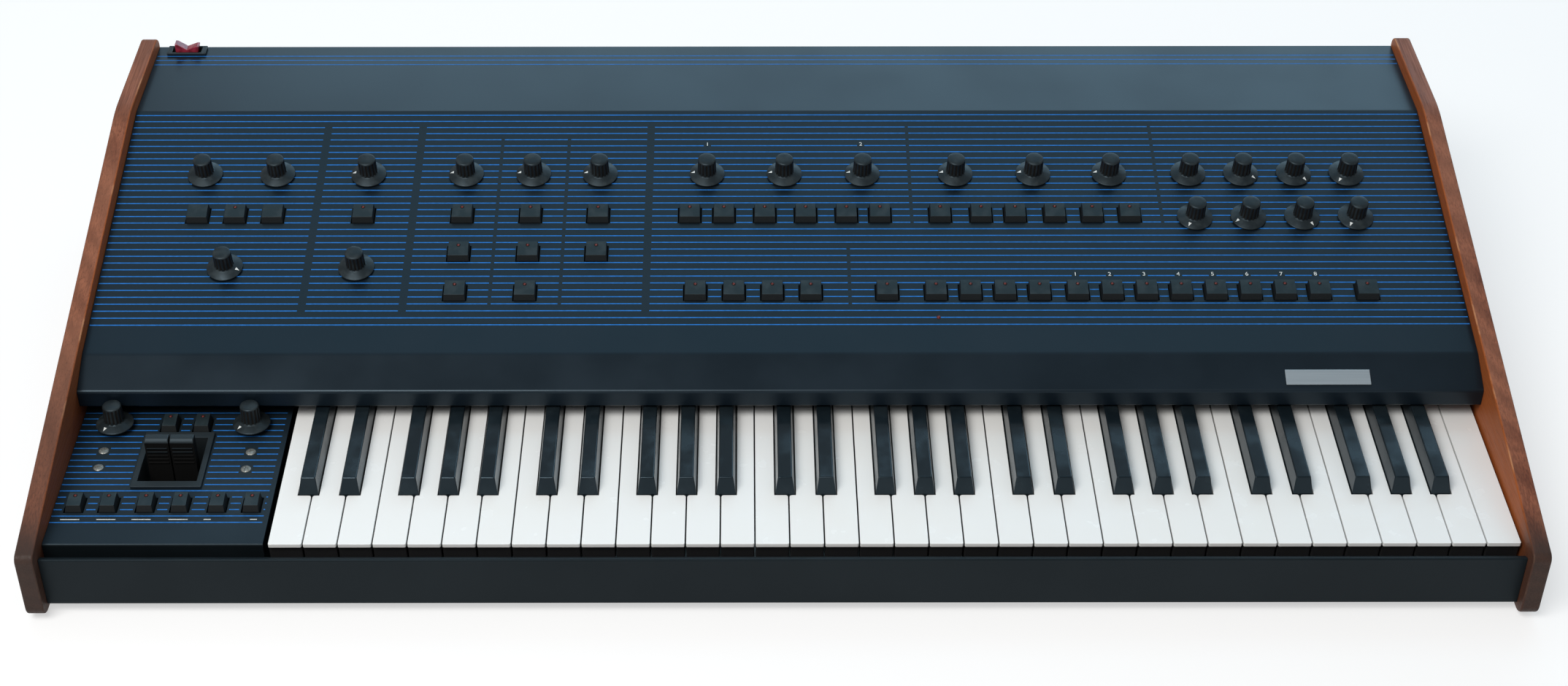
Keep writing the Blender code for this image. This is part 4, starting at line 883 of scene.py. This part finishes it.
# Stripes on the panel. The same blue ink, three lines on the rear flat and thirty-three down
# the slope, broken by bare dividers between the groups of controls.
DIVIDERS = [(-346, 2.9, 38.5, 230), (-273, 2.9, 38.5, 230), (-97, 2.9, 38.5, 230)]
DIVIDERS += [(-210.5, 1.3, 45, 215), (-159.5, 1.3, 44, 218.6), (99.8, 1.3, 124, 228)]
DIVIDERS += [(51.4, 1.3, 43, 107), (286.7, 1.3, 124, 228)]
NUMBER_ROW = 75.3
PAIR_ROW = 209
numbered = [(x, NUMBER_ROW) for x, along in PROGRAM_BUTTONS] + [(-53.5, PAIR_ROW), (64, PAIR_ROW)]
slope_stripes = []
for along in (240.9 - 6.68 * i for i in range(33)):
    blocked = []
    for x, half, low, high in DIVIDERS:
        if low < along < high:
            blocked.append((x - half, x + half))
    for x, across in FIXED_BUTTONS + PROGRAM_BUTTONS:
        if abs(along - across) < 8.6:
            blocked.append((x - 9.3, x + 9.3))
    for x, across in knob_places:
        if abs(along - across) < KNOB_HOLE + 0.8:
            blocked.append((x - 4.5, x + 4.5))
    for x, across in numbered:
        if abs(along - across) < 2.8:
            blocked.append((x - 2.8, x + 2.8))
    for start, end in free_spans(-496.4, 496.4, blocked):
        slope_stripes.append(stripe(start, end, along))
printed = gathered(slope_stripes)
printed.transform(Matrix.Translation(PANEL_FOOT) @ TILT)
rear_stripes = gathered([stripe(-496.4, 496.4, y) for y in (503.7, 497.4, 490.5)])
bmesh.ops.translate(rear_stripes, verts=rear_stripes.verts, vec=(0, 0, FLAT_HEIGHT))
piece("panel_stripes", gathered([printed, rear_stripes]), [blue_ink])


# Numbers and lines. Plain white numbers over the program buttons and the two oscillators'
# knobs, and short rules under the button pairs on the lever plate, in silk-screened ink.
def number(text, centre, tilt, size=3.6):
    """A flat printed number."""
    words = bpy.data.curves.new("number", "FONT")
    words.body = text
    words.size = size * 1.4
    words.align_x = "CENTER"
    words.align_y = "CENTER"
    words.extrude = INK / 2
    held = bpy.data.objects.new("number", words)
    scene.collection.objects.link(held)
    flat = held.evaluated_get(bpy.context.evaluated_depsgraph_get()).to_mesh()
    made = bmesh.new()
    made.from_mesh(flat)
    bpy.data.objects.remove(held)
    bpy.data.curves.remove(words)
    bmesh.ops.remove_doubles(made, verts=made.verts, dist=1e-4)
    made.transform(Matrix.Translation(centre) @ tilt @ Matrix.Translation((0, 0, INK)))
    return made


numbers = []
for (x, along), text in zip(numbered, "1234567812"):
    numbers.append(number(text, on_panel(x, along), TILT))
piece("numbers", gathered(numbers), [white_ink])
rules = []
RULE_ROW = 47.9
RULE = 0.7
for start, end, length in ((-490.3, -452.7, 13), (-441.8, -403.7, 13), (-392.8, -356.6, 4.8)):
    rules.append(stripe(start, start + length, RULE_ROW, RULE))
    rules.append(stripe(end - length, end, RULE_ROW, RULE))
printed = gathered(rules)
bmesh.ops.translate(printed, verts=printed.verts, vec=(0, 0, KEY_TOP))
piece("plate_rules", printed, [white_ink])

# Panel lamp. A small red lamp in the lower part of the slope, a push fit in its hole.
# Its lens is clear red plastic with a low dome.
lamp = turned([(0, 1.1), (0.8, 0.95), (1.3, 0.55), (1.5, 0), (1.5, -0.1), (0, -0.1)], 20)
lamp.transform(Matrix.Translation(on_panel(114.8, 33.8)) @ TILT)
piece("panel_lamp", lamp, [lamp_red])

# Name plate. A small bar of brushed aluminium glued to the fascia at the right, bare here.
# Its edges are bevelled, and the brushing runs along it.
brushed = Finish("brushed_aluminium", (0.6, 0.62, 0.63), 0.32, 0.65)
brushing = brushed.noise(120, 3, (0.12, 12, 12))
brushed.set(Base_Color=brushed.mix(brushing, (0.36, 0.43, 0.48), (0.52, 0.58, 0.62)))
brushed.set(Roughness=0.24 + brushing * 0.18)
brushed.relief(brushing, 0.02)
plate = softened(cad_copy("name_plate"), 0.3, 2, 40)
piece("bare_plate", plate, [brushed], replaced=["name_plate"])

# Power switch. A black moulded housing snapped into the rear flat, with a red translucent
# rocker in it, V-shaped along its top. Its left end is up.
housing = softened(cad_copy("power_switch_housing"), 0.5, 2, 60, 133.2)
node = "power_switch_housing"
piece("switch_housing", housing, [moulded_black], replaced=[node])
rocker_red = Finish("rocker_red", (0.26, 0.012, 0.03), 0.22, Coat_Weight=0.3)
rocker_depth = rocker_red.noise(260, 2).rise(0.35, 0.65)
rocker_red.set(Base_Color=rocker_red.mix(rocker_depth, (0.18, 0.008, 0.02), (0.32, 0.02, 0.045)))
rocker_red.relief(rocker_red.noise(600, 1), 0.02)
rocker = softened(cad_copy("power_rocker"), 0.5, 3, 20)
piece("rocker", rocker, [rocker_red], "power_rocker", ["power_rocker"])

# Cheeks. Oiled walnut boards 12.5 mm thick, cut to the case's side outline with rounded corners
# and edges, and reaching a little below it. The grain runs from front to back. Painted shade
# darkens the front ends and the front, lower part of the left cheek, and painted light
# brightens the inner faces to orange.
walnut = Finish("walnut", (0.14, 0.047, 0.028), 0.5, Specular_IOR_Level=0.18)
grain_x, grain_y, grain_z = (
    walnut.node("SeparateXYZ", None, {0: walnut.place}, axis) for axis in range(3)
)
wander = walnut.noise(1, 3, (9, 2.2, 9))
rings = (grain_z * 0.9 + grain_x * 0.4 + grain_y * 0.05 + wander * 0.075) * 620
bands = walnut.node("Math", {"operation": "SINE"}, {0: rings}).rise(-1.1, 1.2)
fibres = walnut.noise(1, 4, (900, 22, 900)).rise(0.3, 0.72)
pores = walnut.noise(1, 2, (2200, 70, 2200)).rise(0.6, 0.72)
broad = walnut.noise(1, 3, (30, 5, 22)).rise(0.3, 0.7)
wood = walnut.mix(bands * 0.65, (0.29, 0.1, 0.053), (0.135, 0.042, 0.022))
wood = walnut.mix(fibres * 0.55, wood, (0.065, 0.02, 0.012))
wood = walnut.mix(broad * 0.45, wood, (0.36, 0.15, 0.085))
across = abs(grain_x)
# The inner faces are brightened to orange: painted light, as on a face lit from the upper left.
inner_light = 1 - across.rise(0.4978, 0.499)
wood = walnut.mix(inner_light * 0.85, wood, (0.36, 0.088, 0.016))
wood = walnut.mix(pores * 0.6, wood, (0.03, 0.012, 0.009))
on_edge = across.rise(0.4975, 0.4978) * (1 - across.rise(0.4984, 0.4988))
rubs = walnut.noise(1, 4, (60, 26, 60)).rise(0.52, 0.62)
wood = walnut.mix(on_edge * rubs * 0.75, wood, (0.5, 0.24, 0.12))
knock = (1 - abs(grain_y - 0.148).rise(0.0008, 0.0035)) * grain_z.rise(0.1505, 0.152)
wood = walnut.mix(knock * rubs * 0.8, wood, (0.5, 0.36, 0.28))
# Painted shade: the front ends are darkened, as faces turned from the light.
front_shade = (grain_y * -1).rise(0.21, 0.26)
wood = walnut.mix(front_shade * 0.86, wood, (0.026, 0.022, 0.02))
# Painted shade: the front, lower part of the left cheek is darkened.
left_cheek_shade = (grain_x * -1).rise(0.3, 0.4) * (grain_y * -1).rise(0.02, 0.15)
wood = walnut.mix(left_cheek_shade * 0.45, wood, (0.05, 0.032, 0.026))
walnut.set(Base_Color=wood)
walnut.set(Roughness=0.44 + fibres * 0.16)
walnut.relief(fibres - pores, 0.04)
CHEEK_FOOT = -6
CHEEK_INSIDE = 497.5
CHEEK_OUTSIDE = 510
cheek_outline = [(0, CHEEK_FOOT), (0, 48), (408, 143), (DEPTH, 143), (DEPTH, CHEEK_FOOT)]
corner_radii = (9, 4.5, 9, 9, 4.5)
for side, name in ((-1, "left"), (1, "right")):
    cheek = along_x(cheek_outline, side * CHEEK_INSIDE, side * CHEEK_OUTSIDE)
    for (y, z), radius in zip(cheek_outline, corner_radii):
        corner = [
            edge for edge in cheek.edges
            if all((vert.co.yz - Vector((y, z))).length < 0.01 for vert in edge.verts)
        ]
        rounded(cheek, corner, radius, 6)
    rim = [edge for edge in cheek.edges if abs(edge.verts[0].co.x - edge.verts[1].co.x) < 0.01]
    rounded(cheek, rim, 1.2, 3)
    piece(f"{name}_side", cheek, [walnut], replaced=[f"{name}_cheek"])

# Studio. A pale seamless floor that curves up far out, a broad soft lamp high in front at the
# left, two bluish panels of light behind, high and low, that show in the paint's sheen, and a
# weak light from all round. Only the camera and mirrored or clear rays see the floor glow.
paper = Finish("pale_floor", (0.5, 0.5, 0.5), 0.9, Specular_IOR_Level=0.0)
paper_tooth = paper.noise(700, 2)
paper.set(Base_Color=paper.mix(paper_tooth, (0.49, 0.49, 0.49), (0.51, 0.51, 0.51)))
sweep = turned([(0, 0), (9, 0), (10.2, 0.2), (11.2, 0.8), (11.8, 1.7), (12, 2.8)], 96)
floor_mesh = bpy.data.meshes.new("floor")
sweep.to_mesh(floor_mesh)
sweep.free()
floor_mesh.shade_smooth()
floor_mesh.materials.append(paper.material)
floor = bpy.data.objects.new("floor", floor_mesh)
scene.collection.objects.link(floor)
seen = paper.node("LightPath", output="Is Camera Ray")
mirrored = paper.node("LightPath", output="Is Glossy Ray")
through = paper.node("LightPath", output="Is Transmission Ray")
glow = paper.mix(seen + mirrored + through, (0, 0, 0), (1, 1, 1))
paper.set(Emission_Color=glow, Emission_Strength=0.55)
world = bpy.data.worlds.new("even light")
world.use_nodes = True
background = world.node_tree.nodes["Background"]
background.inputs["Color"].default_value = (0.96, 0.98, 1, 1)
background.inputs["Strength"].default_value = 0.31
scene.world = world


def soft_lamp(name, place, aim, width, height, power, colour):
    lamp = bpy.data.lights.new(name, "AREA")
    lamp.color = colour
    lamp.shape = "RECTANGLE"
    lamp.size = width
    lamp.size_y = height
    lamp.energy = power
    held = bpy.data.objects.new(name, lamp)
    held.location = place
    held.rotation_euler = (Vector(aim) - Vector(place)).to_track_quat("-Z", "Y").to_euler()
    held.visible_camera = False
    scene.collection.objects.link(held)


soft_lamp("front", (-0.9, -1.4, 2.3), (0, 0, 0.1), 1.6, 1.2, 56, (1, 0.985, 0.96))
soft_lamp("high_back", (0, 1.35, 2.4), (0, 0, 0.1), 2.8, 1, 7.5, (0.36, 0.76, 1))
soft_lamp("low_back", (0.85, 3.2, 1.6), (0, 0.1, 0.1), 4.7, 1.4, 47, (0.48, 0.79, 1))
scene.view_settings.view_transform = "Standard"
